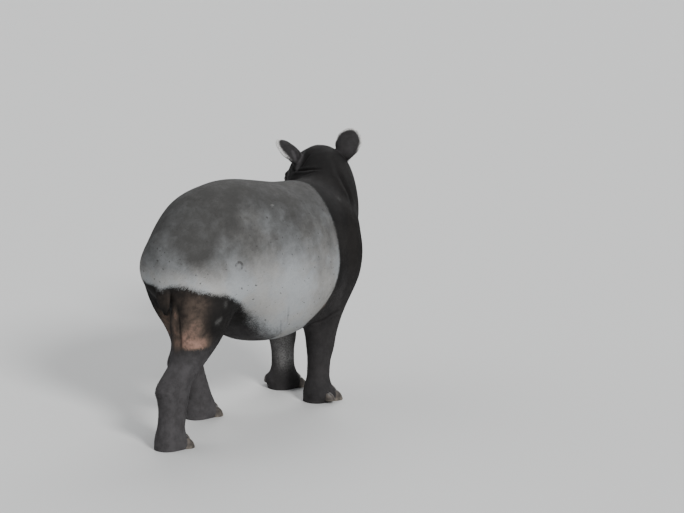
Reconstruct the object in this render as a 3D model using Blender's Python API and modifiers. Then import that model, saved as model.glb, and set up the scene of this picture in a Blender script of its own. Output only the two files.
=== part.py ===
"""Malayan tapir at life size: a still model in mid-stride with its head turned to its left.

Metres, +Z up. The animal faces -Y, its left side is +X and its soles stand on z = 0. The
origin is the bottom centre of the whole animal's bounding box.

Most sizes are body coordinates (f, l, z): f forward of the rump's end, l to the left of the
midline and z above the floor. The flesh is modelled whole, from lofted sections that are
fused and smoothed, and is then parted into its named pieces by thin cuts.
"""

import math

import bmesh
import bpy
import numpy as np
from mathutils import Matrix

# Where the rump's end and the midline lie in the row's frame.
RUMP_Y = 0.6496
MIDLINE_X = -0.0927

# The gap kept between two pieces that meet, and between a part set into another and its seat.
GAP = 0.0003
SEAT_GAP = 0.00045

# Fusing: the voxel of the fused flesh, the rounds that smooth the body and then everything,
# and the triangles that are kept.
VOXEL = 0.008
BODY_ROUNDS = 60
LAST_ROUNDS = 6
FLESH_TRIANGLES = 6000

# Smoothing fades out below this height over this depth, and round the head (h, height) over these radii.
SMOOTH_FLOOR = (0.30, 0.22)
SMOOTH_HEAD = (0.06, -0.02)
SMOOTH_HEAD_RADII = (0.16, 0.30)

# Detail is kept within this radius of the muzzle (h, height) and below this height.
DETAIL_HEAD = (0.20, -0.02)
DETAIL_RADIUS = 0.30
DETAIL_FLOOR = 0.12

# The edge of a box that is large enough to cut off everything beyond a plane.
FAR = 3.0

FORWARD = np.array((1.0, 0.0, 0.0))
LEFT = np.array((0.0, 1.0, 0.0))
UP = np.array((0.0, 0.0, 1.0))

# Trunk sections: f, midline's l, top, bottom, half width, height of the widest point, and
# the power of the upper half, which is lower where the back slopes off like a roof.
TRUNK = (
    (0.000, 0.000, 0.748, 0.671, 0.043, 0.708, 2.10),
    (0.020, 0.000, 0.790, 0.605, 0.102, 0.680, 1.98),
    (0.060, 0.000, 0.825, 0.566, 0.134, 0.698, 1.82),
    (0.120, 0.000, 0.901, 0.515, 0.153, 0.688, 1.86),
    (0.220, 0.000, 0.968, 0.475, 0.200, 0.680, 1.98),
    (0.330, 0.000, 0.994, 0.446, 0.248, 0.650, 1.76),
    (0.410, 0.000, 0.994, 0.392, 0.265, 0.625, 1.95),
    (0.500, 0.000, 0.987, 0.315, 0.278, 0.600, 2.10),
    (0.650, 0.000, 0.955, 0.293, 0.286, 0.575, 2.15),
    (0.800, 0.002, 0.920, 0.307, 0.272, 0.580, 2.15),
    (0.940, 0.008, 0.902, 0.360, 0.235, 0.605, 2.15),
    (1.050, 0.018, 0.882, 0.430, 0.185, 0.635, 2.15),
    (1.130, 0.030, 0.850, 0.505, 0.130, 0.660, 2.15),
    (1.180, 0.040, 0.800, 0.580, 0.070, 0.680, 2.15),
)
TRUNK_POWER = 2.15

# Neck sections: centre (f, l, z), yaw to the left, pitch up, half width, up, down.
NECK = (
    (0.900, 0.000, 0.660, 5, 5, 0.175, 0.205, 0.215),
    (1.020, 0.008, 0.695, 14, 14, 0.162, 0.195, 0.210),
    (1.110, 0.037, 0.740, 28, 20, 0.151, 0.180, 0.195),
    (1.180, 0.089, 0.800, 42, 18, 0.134, 0.155, 0.175),
    (1.225, 0.134, 0.840, 56, 2, 0.116, 0.135, 0.155),
    (1.255, 0.180, 0.860, 62, -15, 0.092, 0.110, 0.135),
)
NECK_POWER = 2.1

# The head's own frame: where its axis crosses the ears, and how it is turned.
HEAD_AT = (1.220, 0.140, 0.885)
HEAD_YAW = 64.0
HEAD_PITCH = -28.0
HEAD_ROLL = -6.0

# Skull and jaw sections along the head: h, top, bottom, half width, level of the widest point.
SKULL = (
    (-0.075, 0.050, -0.105, 0.070, -0.020),
    (-0.045, 0.082, -0.140, 0.092, -0.020),
    (0.000, 0.098, -0.152, 0.112, -0.018),
    (0.060, 0.101, -0.158, 0.119, -0.023),
    (0.120, 0.092, -0.156, 0.110, -0.030),
    (0.180, 0.076, -0.146, 0.091, -0.030),
    (0.240, 0.055, -0.134, 0.074, -0.032),
    (0.295, 0.034, -0.124, 0.060, -0.038),
    (0.340, 0.016, -0.116, 0.048, -0.050),
    (0.368, -0.010, -0.106, 0.032, -0.064),
)
SKULL_POWER = 2.15

# Proboscis sections: centre h, centre height, drop of its axis, half width, half height.
PROBOSCIS = (
    (0.215, -0.004, 6, 0.070, 0.050),
    (0.285, -0.013, 12, 0.061, 0.048),
    (0.345, -0.030, 22, 0.053, 0.045),
    (0.390, -0.054, 38, 0.047, 0.042),
    (0.420, -0.084, 54, 0.042, 0.038),
    (0.436, -0.113, 66, 0.038, 0.033),
    (0.441, -0.132, 70, 0.033, 0.026),
)

# Muscle and bone that show under the skin of the head: h, side, height and three radii.
HEAD_SWELLS = (
    (0.064, 0.080, -0.044, 0.090, 0.050, 0.090),
    (0.175, 0.064, 0.026, 0.055, 0.026, 0.022),
    (0.014, 0.076, 0.006, 0.066, 0.050, 0.060),
    (0.085, 0.000, 0.062, 0.090, 0.060, 0.044),
)

# The roll of skin on the inside of the neck's bend: centre (f, l, z), yaw and three radii.
NECK_ROLL = ((1.100, 0.130, 0.775), 36, (0.110, 0.090, 0.130))

# Hind leg sections, standing square: z, back f, front f, inner l, outer l.
HIND_LEG = (
    (0.900, 0.195, 0.325, 0.040, 0.118),
    (0.860, 0.135, 0.372, 0.020, 0.144),
    (0.780, 0.098, 0.408, 0.010, 0.176),
    (0.700, 0.064, 0.425, 0.005, 0.216),
    (0.620, 0.055, 0.415, 0.004, 0.236),
    (0.540, 0.058, 0.378, 0.004, 0.232),
    (0.470, 0.066, 0.345, 0.012, 0.217),
    (0.400, 0.088, 0.312, 0.026, 0.196),
    (0.340, 0.094, 0.262, 0.036, 0.178),
    (0.300, 0.072, 0.226, 0.038, 0.168),
    (0.265, 0.030, 0.204, 0.044, 0.162),
    (0.240, 0.013, 0.196, 0.048, 0.158),
    (0.200, 0.034, 0.190, 0.052, 0.156),
    (0.140, 0.056, 0.188, 0.056, 0.154),
    (0.090, 0.062, 0.186, 0.056, 0.154),
    (0.055, 0.056, 0.194, 0.050, 0.160),
    (0.030, 0.050, 0.200, 0.048, 0.162),
    (-0.030, 0.050, 0.200, 0.048, 0.162),
)

# Foreleg sections, standing square: z, back f, front f, inner l, outer l.
FORE_LEG = (
    (0.840, 0.930, 1.050, 0.050, 0.125),
    (0.780, 0.890, 1.090, 0.030, 0.172),
    (0.700, 0.865, 1.120, 0.015, 0.204),
    (0.600, 0.845, 1.138, 0.012, 0.216),
    (0.520, 0.820, 1.135, 0.016, 0.214),
    (0.450, 0.800, 1.100, 0.028, 0.206),
    (0.390, 0.806, 1.055, 0.044, 0.197),
    (0.330, 0.828, 1.020, 0.058, 0.188),
    (0.270, 0.850, 1.002, 0.068, 0.178),
    (0.220, 0.862, 0.998, 0.072, 0.172),
    (0.160, 0.876, 0.980, 0.076, 0.166),
    (0.100, 0.880, 0.976, 0.076, 0.168),
    (0.060, 0.868, 0.990, 0.068, 0.178),
    (0.030, 0.862, 0.998, 0.066, 0.182),
    (-0.030, 0.862, 0.998, 0.066, 0.182),
)
LEG_POWER = 2.2

# Each leg: its sections, side, how far forward its foot is set, how far outward, the height
# that it swings from, and where its sole's middle is when the leg stands square.
LEGS = {
    "hind_right": (HIND_LEG, -1, -0.160, 0.006, 0.80, (0.125, 0.105)),
    "hind_left": (HIND_LEG, 1, 0.265, -0.004, 0.80, (0.125, 0.105)),
    "fore_right": (FORE_LEG, -1, -0.045, -0.006, 0.62, (0.930, 0.124)),
    "fore_left": (FORE_LEG, 1, 0.020, 0.000, 0.62, (0.930, 0.124)),
}
SWING_EASE = 1.15
ANKLE = 0.070

# Toes: turn outward, set outward of the sole's middle, reach, half width, hoof height and
# lift off the floor.
HIND_TOES = (
    (-20, -0.036, 0.078, 0.0225, 0.042, 0.0),
    (0, 0.0, 0.112, 0.0275, 0.050, 0.0),
    (20, 0.036, 0.078, 0.0225, 0.042, 0.0),
)
FORE_TOES = (
    (-20, -0.037, 0.080, 0.0225, 0.042, 0.0),
    (0, 0.0, 0.114, 0.0275, 0.050, 0.0),
    (20, 0.037, 0.082, 0.0235, 0.042, 0.0),
    (50, 0.086, 0.004, 0.0170, 0.032, 0.012),
)

# The fleshy lobe behind each hoof: set back from the toe's tip, half length, width and height
# per hoof, and height of its middle.
TOE_BACK = 0.066
TOE_LONG = 0.050
TOE_WIDE = 1.16
TOE_HIGH = 0.86
TOE_LEVEL = 0.022

# Hooves: half the length per half width, then up a hoof the share of its height, the share
# of its size, and how far it is set back per half width.
HOOF_LENGTH = 1.3
HOOF_RISE = (
    (0.00, 1.00, 0.00),
    (0.55, 0.92, 0.29),
    (1.00, 0.66, 0.73),
)

# Tail: f, l, z, half width, half depth, from the root to the tip.
TAIL = (
    (0.095, -0.004, 0.668, 0.040, 0.030),
    (0.048, -0.014, 0.648, 0.040, 0.026),
    (0.024, -0.027, 0.615, 0.039, 0.020),
    (0.016, -0.036, 0.580, 0.034, 0.015),
    (0.018, -0.040, 0.548, 0.022, 0.011),
    (0.024, -0.041, 0.526, 0.010, 0.007),
)

# Ears: place in the head's frame, the way the length points, and the way the cup opens.
EAR_LENGTH = 0.138
EARS = {
    "left": ((0.006, 0.084, 0.040), (-0.19, 0.64, 0.75), (0.71, 0.70, 0.00)),
    "right": ((-0.017, -0.093, 0.012), (-0.32, -0.57, 0.76), (0.91, -0.42, -0.07)),
}
# Along the ear: share of its length, half width, depth of its back, share that is hollow.
EAR_SHAPE = (
    (-0.25, 0.022, 0.020, 0.00),
    (0.00, 0.026, 0.024, 0.00),
    (0.10, 0.033, 0.029, 0.40),
    (0.24, 0.043, 0.033, 0.85),
    (0.42, 0.0515, 0.031, 1.00),
    (0.60, 0.0535, 0.025, 1.00),
    (0.76, 0.0480, 0.018, 1.00),
    (0.89, 0.0350, 0.011, 1.00),
    (0.97, 0.0190, 0.006, 1.00),
    (1.00, 0.0080, 0.004, 0.60),
)
EAR_THICK = 0.0045

# Eyes: place of the ball in the head's frame, its radius, how far it looks outward, the radii
# of the lids round it along the head, across and up, and the opening's half width and height.
EYE_AT = (0.192, 0.0700, 0.014)
EYE_RADIUS = 0.0170
EYE_TURN = 72
LID_RADII = (0.0290, 0.0200, 0.0240)
LID_OPENING = (0.0140, 0.0092)
LID_REACH = 0.050

# Mouth: the line of the lips from the corner to the front, h and height, a point past the
# front, the groove's depth and opening, and how far its cutter stands out of the cheek.
MOUTH = (
    (0.246, -0.082),
    (0.285, -0.078),
    (0.325, -0.077),
    (0.362, -0.083),
)
MOUTH_END = (0.380, -0.090)
JAW_SLOPE = 0.25
LIP_DEPTH = 0.009
LIP_OPENING = 0.0032
LIP_CUTTER = 0.012

# Nostrils: half the distance between them, how far above the proboscis's axis, and their radii.
NOSTRIL_SIDE = 0.0125
NOSTRIL_RISE = 0.004
NOSTRIL_RADII = (0.0085, 0.0050, 0.0110)

# Where the flesh is parted: a point, the yaw and the pitch of each flat cut.
SHOULDER_CUT = ((0.800, 0.000, 0.640), 0, -24)
NECK_CUT = ((1.075, 0.020, 0.740), 20, 16)
HEAD_CUT_H = -0.012
SNOUT_CUT_H = 0.262
JAW_BACK_H = 0.120
LEG_CUTS = {"hind": (0.345, 0.105), "fore": (0.315, 0.105)}

# The rounded region that parts each leg from the trunk: f, l, z and radius at both ends.
HIND_REGION = ((0.225, 0.180, 0.450, 0.200), (0.150, 0.140, -0.100, 0.190))
FORE_REGION = ((0.985, 0.205, 0.520, 0.180), (0.935, 0.150, -0.100, 0.170))

COLOURS = {
    "saddle": (0.300, 0.305, 0.320),
    "black": (0.024, 0.021, 0.020),
    "ear": (0.050, 0.043, 0.040),
    "eye": (0.012, 0.008, 0.006),
    "hoof": (0.045, 0.038, 0.033),
}
ROUGHNESS = {"saddle": 0.75, "black": 0.65, "ear": 0.7, "eye": 0.08, "hoof": 0.45}


# Frames and curves

def to_row(points):
    """Body coordinates (f, l, z) as the row's x, y and z."""
    points = np.asarray(points, float)
    f, l, z = points[..., 0], points[..., 1], points[..., 2]
    return np.stack((l + MIDLINE_X, RUMP_Y - f, z), axis=-1)


def smooth_rows(rows, count):
    """The rows of a table of sizes at count even steps of its first column, on a curve that
    keeps their shape."""
    rows = np.array(rows, float)
    if rows[0, 0] > rows[-1, 0]:
        rows = rows[::-1]
    x = rows[:, 0]
    gaps = np.diff(x)
    slopes = np.diff(rows, axis=0) / gaps[:, None]
    tangents = np.zeros_like(rows)
    tangents[0], tangents[-1] = slopes[0], slopes[-1]
    before, after = slopes[:-1], slopes[1:]
    same = before * after > 0
    mean = np.where(same, before + after, 1.0)
    tangents[1:-1] = np.where(same, 2 * before * after / mean, 0.0)
    at = np.linspace(x[0], x[-1], count)
    i = np.clip(np.searchsorted(x, at, side="right") - 1, 0, len(x) - 2)
    h = gaps[i][:, None]
    t = ((at - x[i]) / gaps[i])[:, None]
    return (
        (2 * t**3 - 3 * t**2 + 1) * rows[i]
        + (t**3 - 2 * t**2 + t) * h * tangents[i]
        + (3 * t**2 - 2 * t**3) * rows[i + 1]
        + (t**3 - t**2) * h * tangents[i + 1]
    )


def along_index(rows, count):
    """The rows at count even steps of their own order, for a table that doubles back."""
    numbered = [(i, *row) for i, row in enumerate(rows)]
    return smooth_rows(numbered, count)[:, 1:]


def directions(yaw, pitch, roll=0.0):
    """Unit vectors forward, left and up of something turned left by yaw and raised by pitch, in degrees."""
    turn = Matrix.Rotation(math.radians(yaw), 3, "Z")
    raise_ = Matrix.Rotation(math.radians(-pitch), 3, "Y")
    lean = Matrix.Rotation(math.radians(roll), 3, "X")
    axes = np.array(turn @ raise_ @ lean)
    return axes[:, 0], axes[:, 1], axes[:, 2]


HEAD_AXES = directions(HEAD_YAW, HEAD_PITCH, HEAD_ROLL)


def in_head(h, side, height):
    """A point of the head's own frame in body coordinates."""
    forward, left, up = HEAD_AXES
    return np.array(HEAD_AT) + h * forward + side * left + height * up


def section(centre, across, along, half_across, high, low, power, count):
    """A closed section: a superellipse that reaches high and low from its centre."""
    turn = np.linspace(0, 2 * math.pi, count, endpoint=False)
    c, s = np.cos(turn), np.sin(turn)
    a = np.sign(c) * np.abs(c) ** (2 / power) * half_across
    b = np.sign(s) * np.abs(s) ** (2 / power) * np.where(s > 0, high, low)
    return np.asarray(centre) + a[:, None] * across + b[:, None] * along


# Meshes and Booleans

def add_loft(mesh, rings):
    """Adds the closed skin over a row of sections, with both ends closed by a fan."""
    rows = [[mesh.verts.new(p) for p in to_row(ring)] for ring in rings]
    count = len(rows[0])
    for near, far in zip(rows[:-1], rows[1:]):
        for i in range(count):
            j = (i + 1) % count
            mesh.faces.new((near[i], near[j], far[j], far[i]))
    for row, ring in ((rows[0], rings[0]), (rows[-1], rings[-1])):
        middle = mesh.verts.new(to_row(np.mean(ring, axis=0)))
        for i in range(count):
            mesh.faces.new((row[i], row[(i + 1) % count], middle))


def add_ball(mesh, centre, radii, axes, segments=24):
    """Adds an ellipsoid with its radii along three axes, all in body coordinates."""
    made = bmesh.ops.create_uvsphere(mesh, u_segments=segments, v_segments=segments // 2, radius=1.0)
    for vert in made["verts"]:
        reach = sum(vert.co[i] * radii[i] * np.asarray(axes[i]) for i in range(3))
        vert.co = to_row(np.asarray(centre) + reach)


def new_object(name, mesh):
    """An object in the tapir's collection from a bmesh, with its faces pointing out."""
    bmesh.ops.recalc_face_normals(mesh, faces=mesh.faces)
    if mesh.calc_volume(signed=True) < 0:
        bmesh.ops.reverse_faces(mesh, faces=mesh.faces)
    data = bpy.data.meshes.new(name)
    mesh.to_mesh(data)
    mesh.free()
    obj = bpy.data.objects.new(name, data)
    tapir_collection().objects.link(obj)
    return obj


def tapir_collection():
    """The collection that holds the animal's pieces."""
    found = bpy.data.collections.get("malayan_tapir")
    if found is None:
        found = bpy.data.collections.new("malayan_tapir")
        bpy.context.scene.collection.children.link(found)
    return found


def bake(obj):
    """Applies the object's modifiers."""
    graph = bpy.context.evaluated_depsgraph_get()
    made = bpy.data.meshes.new_from_object(obj.evaluated_get(graph))
    old = obj.data
    obj.modifiers.clear()
    obj.data = made
    bpy.data.meshes.remove(old)
    return obj


def copy_of(obj, name):
    """A second object with a mesh of its own."""
    twin = bpy.data.objects.new(name, obj.data.copy())
    tapir_collection().objects.link(twin)
    return twin


def grown(obj, by):
    """A copy that is larger all round, for cutting a neighbour clear of it."""
    twin = copy_of(obj, obj.name + "_grown")
    mesh = bmesh.new()
    mesh.from_mesh(twin.data)
    mesh.normal_update()
    moves = [(vert, vert.normal * by * vert.calc_shell_factor()) for vert in mesh.verts]
    for vert, move in moves:
        vert.co += move
    mesh.to_mesh(twin.data)
    mesh.free()
    return twin


def boolean(obj, operation, other):
    """Cuts, joins or intersects obj with another closed object, which is then removed."""
    modifier = obj.modifiers.new(operation.title(), "BOOLEAN")
    modifier.operation = operation
    modifier.solver = "EXACT"
    modifier.object = other
    bake(obj)
    bpy.data.objects.remove(other)
    return largest_body(obj)


def largest_body(obj):
    """Keeps only the largest closed surface of an object, also where two touch along an edge."""
    mesh = bmesh.new()
    mesh.from_mesh(obj.data)
    left, bodies = set(mesh.faces), []
    while left:
        found, front = [], [left.pop()]
        while front:
            face = front.pop()
            found.append(face)
            for edge in face.edges:
                beside = [other for other in edge.link_faces if other in left]
                if len(edge.link_faces) == 2 and beside:
                    left.discard(beside[0])
                    front.append(beside[0])
        bodies.append(found)
    bodies.sort(key=len, reverse=True)
    for body in bodies[1:]:
        bmesh.ops.delete(mesh, geom=body, context="FACES")
    mesh.to_mesh(obj.data)
    mesh.free()
    return obj


def half_space(point, axes, back_off):
    """A large box whose one face is a plane in body coordinates, square to the first axis."""
    forward, left, up = (np.asarray(axis, float) for axis in axes)
    start = np.asarray(point, float) + forward * back_off
    corners = [(-FAR, -FAR), (FAR, -FAR), (FAR, FAR), (-FAR, FAR)]
    rings = [
        np.array([start + forward * ahead + left * a + up * b for a, b in corners])
        for ahead in (0.0, FAR)
    ]
    mesh = bmesh.new()
    add_loft(mesh, rings)
    return new_object("half_space", mesh)


def split_flat(obj, name, point, axes):
    """Parts obj at a plane given in body coordinates. What lies beyond it becomes the new object."""
    beyond = copy_of(obj, name)
    boolean(beyond, "INTERSECT", half_space(point, axes, GAP / 2))
    boolean(obj, "DIFFERENCE", half_space(point, axes, -GAP / 2))
    return beyond


# Flesh

def trunk_rings():
    """Sections of the body from the rump to the chest."""
    rings = []
    for f, l, top, bottom, half, level, roof in smooth_rows(TRUNK, 44):
        ring = section((f, l, level), LEFT, UP, half, top - level, level - bottom, TRUNK_POWER, 48)
        upper = section((f, l, level), LEFT, UP, half, top - level, level - bottom, roof, 48)
        rings.append(np.where(ring[:, 2:] > level, upper, ring))
    return rings


def neck_rings():
    """Sections of the neck, square to its own bend."""
    rings = []
    for f, l, z, yaw, pitch, half, high, low in smooth_rows(NECK, 24):
        _, left, up = directions(yaw, pitch)
        rings.append(section((f, l, z), left, up, half, high, low, NECK_POWER, 40))
    return rings


def skull_rings():
    """Sections of the head without its proboscis."""
    _, left, up = HEAD_AXES
    rings = []
    for h, top, bottom, half, level in smooth_rows(SKULL, 30):
        centre = in_head(h, 0, level)
        rings.append(section(centre, left, up, half, top - level, level - bottom, SKULL_POWER, 36))
    return rings


def proboscis_rings():
    """Sections of the drooping proboscis, square to its bend."""
    forward, left, up = HEAD_AXES
    rings = []
    for h, height, drop, half, deep in along_index(PROBOSCIS, 24):
        lean = math.radians(drop)
        square = math.cos(lean) * up + math.sin(lean) * forward
        rings.append(section(in_head(h, 0, height), left, square, half, deep, deep, 2.2, 28))
    return rings


def leg_offset(leg, z):
    """How far a leg's section at height z is moved forward and outward from the square stance."""
    _, _, reach, spread, hinge, _ = LEGS[leg]
    share = np.clip((hinge - z) / (hinge - ANKLE), 0, 1) ** SWING_EASE
    return reach * share, spread * share


def leg_rings(leg):
    """Level sections of one leg, from the haunch or shoulder to below the floor."""
    table, side = LEGS[leg][:2]
    rings = []
    for z, back, front, inner, outer in smooth_rows(table, 60):
        ahead, out = leg_offset(leg, z)
        centre = ((back + front) / 2 + ahead, side * ((inner + outer) / 2 + out), z)
        half = (outer - inner) / 2
        rings.append(section(centre, FORWARD, LEFT, (front - back) / 2, half, half, LEG_POWER, 32))
    return rings


def sole_middle(leg):
    """Where the middle of a leg's sole stands, in body coordinates."""
    _, side, _, _, _, (f, l) = LEGS[leg]
    ahead, out = leg_offset(leg, 0.0)
    return np.array((f + ahead, side * (l + out), 0.0))


def toes_of(leg):
    """Each toe of a leg: its number, heading, left vector, tip and sizes."""
    side = LEGS[leg][1]
    toes = HIND_TOES if leg.startswith("hind") else FORE_TOES
    for number, (turn, out, reach, half, high, lift) in enumerate(toes, start=1):
        heading, left, _ = directions(turn * side, 0)
        tip = sole_middle(leg) + side * out * LEFT + reach * heading
        yield number, heading, left, tip, half, high, lift


def add_toes(mesh, leg):
    """Adds the fleshy toes of one foot, each a rounded lobe behind its hoof."""
    for _, heading, left, tip, half, high, lift in toes_of(leg):
        centre = tip - TOE_BACK * heading + (TOE_LEVEL + lift) * UP
        add_ball(mesh, centre, (TOE_LONG, half * TOE_WIDE, high * TOE_HIGH), (heading, left, UP), 16)


def smoothing_share(points):
    """How strongly each point of the flesh is smoothed: fully on the trunk, hardly on head and feet."""
    f, l, z = RUMP_Y - points[:, 1], points[:, 0] - MIDLINE_X, points[:, 2]
    floor, fade = SMOOTH_FLOOR
    above = np.clip((z - floor) / fade, 0, 1)
    middle = in_head(SMOOTH_HEAD[0], 0, SMOOTH_HEAD[1])
    away = np.linalg.norm(np.stack((f, l, z), axis=-1) - middle, axis=1)
    near, far = SMOOTH_HEAD_RADII
    return above * np.clip((away - near) / (far - near), 0, 1)


def smooth(obj, rounds, shares=None):
    """Evens out the surface, by shares of full strength where they are given."""
    modifier = obj.modifiers.new("Smooth", "SMOOTH")
    modifier.factor = 0.5
    modifier.iterations = rounds
    if shares is not None:
        group = obj.vertex_groups.new(name="smoothing")
        steps = np.round(shares * 20).astype(int)
        for step in range(1, 21):
            chosen = np.flatnonzero(steps == step)
            if len(chosen):
                group.add(chosen.tolist(), step / 20, "REPLACE")
        modifier.vertex_group = group.name
    bake(obj)
    obj.vertex_groups.clear()


def points_of(obj):
    """The object's vertices as an array."""
    points = np.empty(len(obj.data.vertices) * 3, np.float32)
    obj.data.vertices.foreach_get("co", points)
    return points.reshape(-1, 3).astype(float)


def make_flesh():
    """The whole animal without ears, tail, eyes and hooves, as one smooth closed surface."""
    mesh = bmesh.new()
    for rings in (trunk_rings(), neck_rings(), skull_rings(), proboscis_rings()):
        add_loft(mesh, rings)
    for leg in LEGS:
        add_loft(mesh, leg_rings(leg))
        add_toes(mesh, leg)
    for h, side, height, long, wide, tall in HEAD_SWELLS:
        for way in {1, -1} if side else {1}:
            add_ball(mesh, in_head(h, way * side, height), (long, wide, tall), HEAD_AXES)
    centre, yaw, radii = NECK_ROLL
    add_ball(mesh, centre, radii, directions(yaw, 0))
    flesh = new_object("flesh", mesh)
    fuse = flesh.modifiers.new("Fuse", "REMESH")
    fuse.mode = "VOXEL"
    fuse.voxel_size = VOXEL
    bake(flesh)
    smooth(flesh, BODY_ROUNDS, smoothing_share(points_of(flesh)))
    smooth(flesh, LAST_ROUNDS)
    thin_out(flesh, FLESH_TRIANGLES)
    return flesh


def thin_out(obj, triangles):
    """Keeps about this many triangles, most of them where the head and the feet are."""
    points = points_of(obj)
    f, l, z = RUMP_Y - points[:, 1], points[:, 0] - MIDLINE_X, points[:, 2]
    middle = in_head(DETAIL_HEAD[0], 0, DETAIL_HEAD[1])
    head = np.linalg.norm(np.stack((f, l, z), axis=-1) - middle, axis=1) < DETAIL_RADIUS
    low = z < DETAIL_FLOOR
    group = obj.vertex_groups.new(name="coarse")
    for chosen, weight in ((head, 0.8), (low, 0.85), (~head & ~low, 1.0)):
        group.add(np.flatnonzero(chosen).tolist(), weight, "REPLACE")
    obj.data.calc_loop_triangles()
    modifier = obj.modifiers.new("Thin", "DECIMATE")
    modifier.ratio = triangles / len(obj.data.loop_triangles)
    modifier.vertex_group = group.name
    modifier.vertex_group_factor = 1.0
    bake(obj)
    obj.vertex_groups.clear()


# Parting the flesh

def leg_region(leg, margin):
    """The rounded region, a cone between two balls that stops at the midline, that holds one leg."""
    side = LEGS[leg][1]
    ends = HIND_REGION if leg.startswith("hind") else FORE_REGION
    turn, rise = np.meshgrid(np.linspace(0, 2 * math.pi, 26, endpoint=False), np.linspace(-1.5, 1.5, 14))
    ball = np.stack((np.cos(rise) * np.cos(turn), np.cos(rise) * np.sin(turn), np.sin(rise)), axis=-1)
    mesh = bmesh.new()
    for f, l, z, radius in ends:
        ahead, out = leg_offset(leg, z)
        centre = np.array((f + ahead, side * (l + out), z))
        for point in to_row(centre + (radius + margin) * ball.reshape(-1, 3)):
            mesh.verts.new(point)
    hull = bmesh.ops.convex_hull(mesh, input=mesh.verts)
    inside = [v for v in hull["geom_interior"] if isinstance(v, bmesh.types.BMVert)]
    bmesh.ops.delete(mesh, geom=inside, context="VERTS")
    region = new_object(leg + "_region", mesh)
    midline = (0, side * (GAP / 2 - margin), 0)
    boolean(region, "DIFFERENCE", half_space(midline, (-side * LEFT, FORWARD, UP), 0.0))
    return region


def part_legs(flesh):
    """Cuts the four legs from the trunk, and each leg into its lengths."""
    for leg in LEGS:
        limb = copy_of(flesh, leg + "_upper")
        boolean(limb, "INTERSECT", leg_region(leg, 0.0))
        knee, ankle = LEG_CUTS[leg[:4]]
        lower = split_flat(limb, leg + "_lower", (0, 0, knee), (-UP, LEFT, FORWARD))
        foot = split_flat(lower, leg + "_foot", (0, 0, ankle), (-UP, LEFT, FORWARD))
        stand_on_floor(foot)
    for leg in LEGS:
        boolean(flesh, "DIFFERENCE", leg_region(leg, SEAT_GAP))


def stand_on_floor(foot):
    """Cuts a foot level at the floor."""
    boolean(foot, "DIFFERENCE", half_space((0, 0, 0), (-UP, LEFT, FORWARD), 0.0))


def part_front(flesh):
    """Cuts the neck, head, snout and jaw from the trunk."""
    flesh.name = "torso"
    point, yaw, pitch = SHOULDER_CUT
    shoulders = split_flat(flesh, "shoulders", point, directions(yaw, pitch))
    point, yaw, pitch = NECK_CUT
    neck = split_flat(shoulders, "neck", point, directions(yaw, pitch))
    head = split_flat(neck, "head", in_head(HEAD_CUT_H, 0, 0), HEAD_AXES)
    jaw = copy_of(head, "jaw")
    boolean(jaw, "INTERSECT", jaw_region(0.0))
    boolean(head, "DIFFERENCE", jaw_region(GAP))
    split_flat(head, "snout", in_head(SNOUT_CUT_H, 0, 0), HEAD_AXES)


def mouth_line(count):
    """The line of the lips, from behind the corner of the mouth to past its front: h and height."""
    start = (JAW_BACK_H, MOUTH[0][1] - (MOUTH[0][0] - JAW_BACK_H) * JAW_SLOPE)
    return smooth_rows((start, *MOUTH, MOUTH_END), count)


def jaw_region(margin):
    """The space below the line of the mouth, in front of the jaw's angle."""
    half, floor = 0.20, -0.30
    _, left, _ = HEAD_AXES
    mesh = bmesh.new()
    line = mouth_line(18)
    line[0, 0] -= margin
    line[-1, 0] += margin
    rings = []
    for h, height in line:
        top = in_head(h, 0, height + margin)
        bottom = in_head(h, 0, floor)
        rings.append(
            np.array((top - half * left, top + half * left, bottom + half * left, bottom - half * left))
        )
    add_loft(mesh, rings)
    return new_object("jaw_region", mesh)


# Details of the head

def half_width_at(h):
    """The skull's half width at h."""
    rows = smooth_rows(SKULL, 60)
    return float(np.interp(h, rows[:, 0], rows[:, 3]))


def part_lips():
    """Opens the line of the mouth as a groove between the lips, on the head, snout and jaw."""
    for name in ("head", "snout", "jaw"):
        for side in (1, -1):
            rings = []
            for h, height in smooth_rows(MOUTH, 14):
                outer = half_width_at(h) + LIP_CUTTER
                inner = half_width_at(h) - LIP_DEPTH
                wide, thin = LIP_OPENING, LIP_OPENING * 0.15
                corners = ((inner, -thin), (outer, -wide), (outer, wide), (inner, thin))
                rings.append(np.array([in_head(h, side * a, height + b) for a, b in corners]))
            mesh = bmesh.new()
            add_loft(mesh, rings)
            boolean(bpy.data.objects[name], "DIFFERENCE", new_object("lip_groove", mesh))


def make_eyes(head):
    """Two eyeballs in sockets, each with an upper and a lower lid that is part of the head."""
    h, across, height = EYE_AT
    up = HEAD_AXES[2]
    for name, side in (("eye_left", 1), ("eye_right", -1)):
        centre = in_head(h, side * across, height)
        outward = directions(HEAD_YAW + side * EYE_TURN, 0)[0]
        lids = bmesh.new()
        add_ball(lids, centre, LID_RADII, HEAD_AXES, 20)
        boolean(head, "UNION", new_object("lids", lids))
        slot = bmesh.new()
        wide, tall = LID_OPENING
        reach = np.array((centre, centre + outward * LID_REACH))
        along = np.cross(up, outward)
        along /= np.linalg.norm(along)
        rings = [section(p, along, up, wide, tall, tall * 0.9, 1.7, 18) for p in reach]
        add_loft(slot, rings)
        boolean(head, "DIFFERENCE", new_object("lid_opening", slot))
        ball = bmesh.new()
        add_ball(ball, centre, (EYE_RADIUS,) * 3, HEAD_AXES, 16)
        eye = new_object(name, ball)
        boolean(head, "DIFFERENCE", grown(eye, SEAT_GAP))


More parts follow.
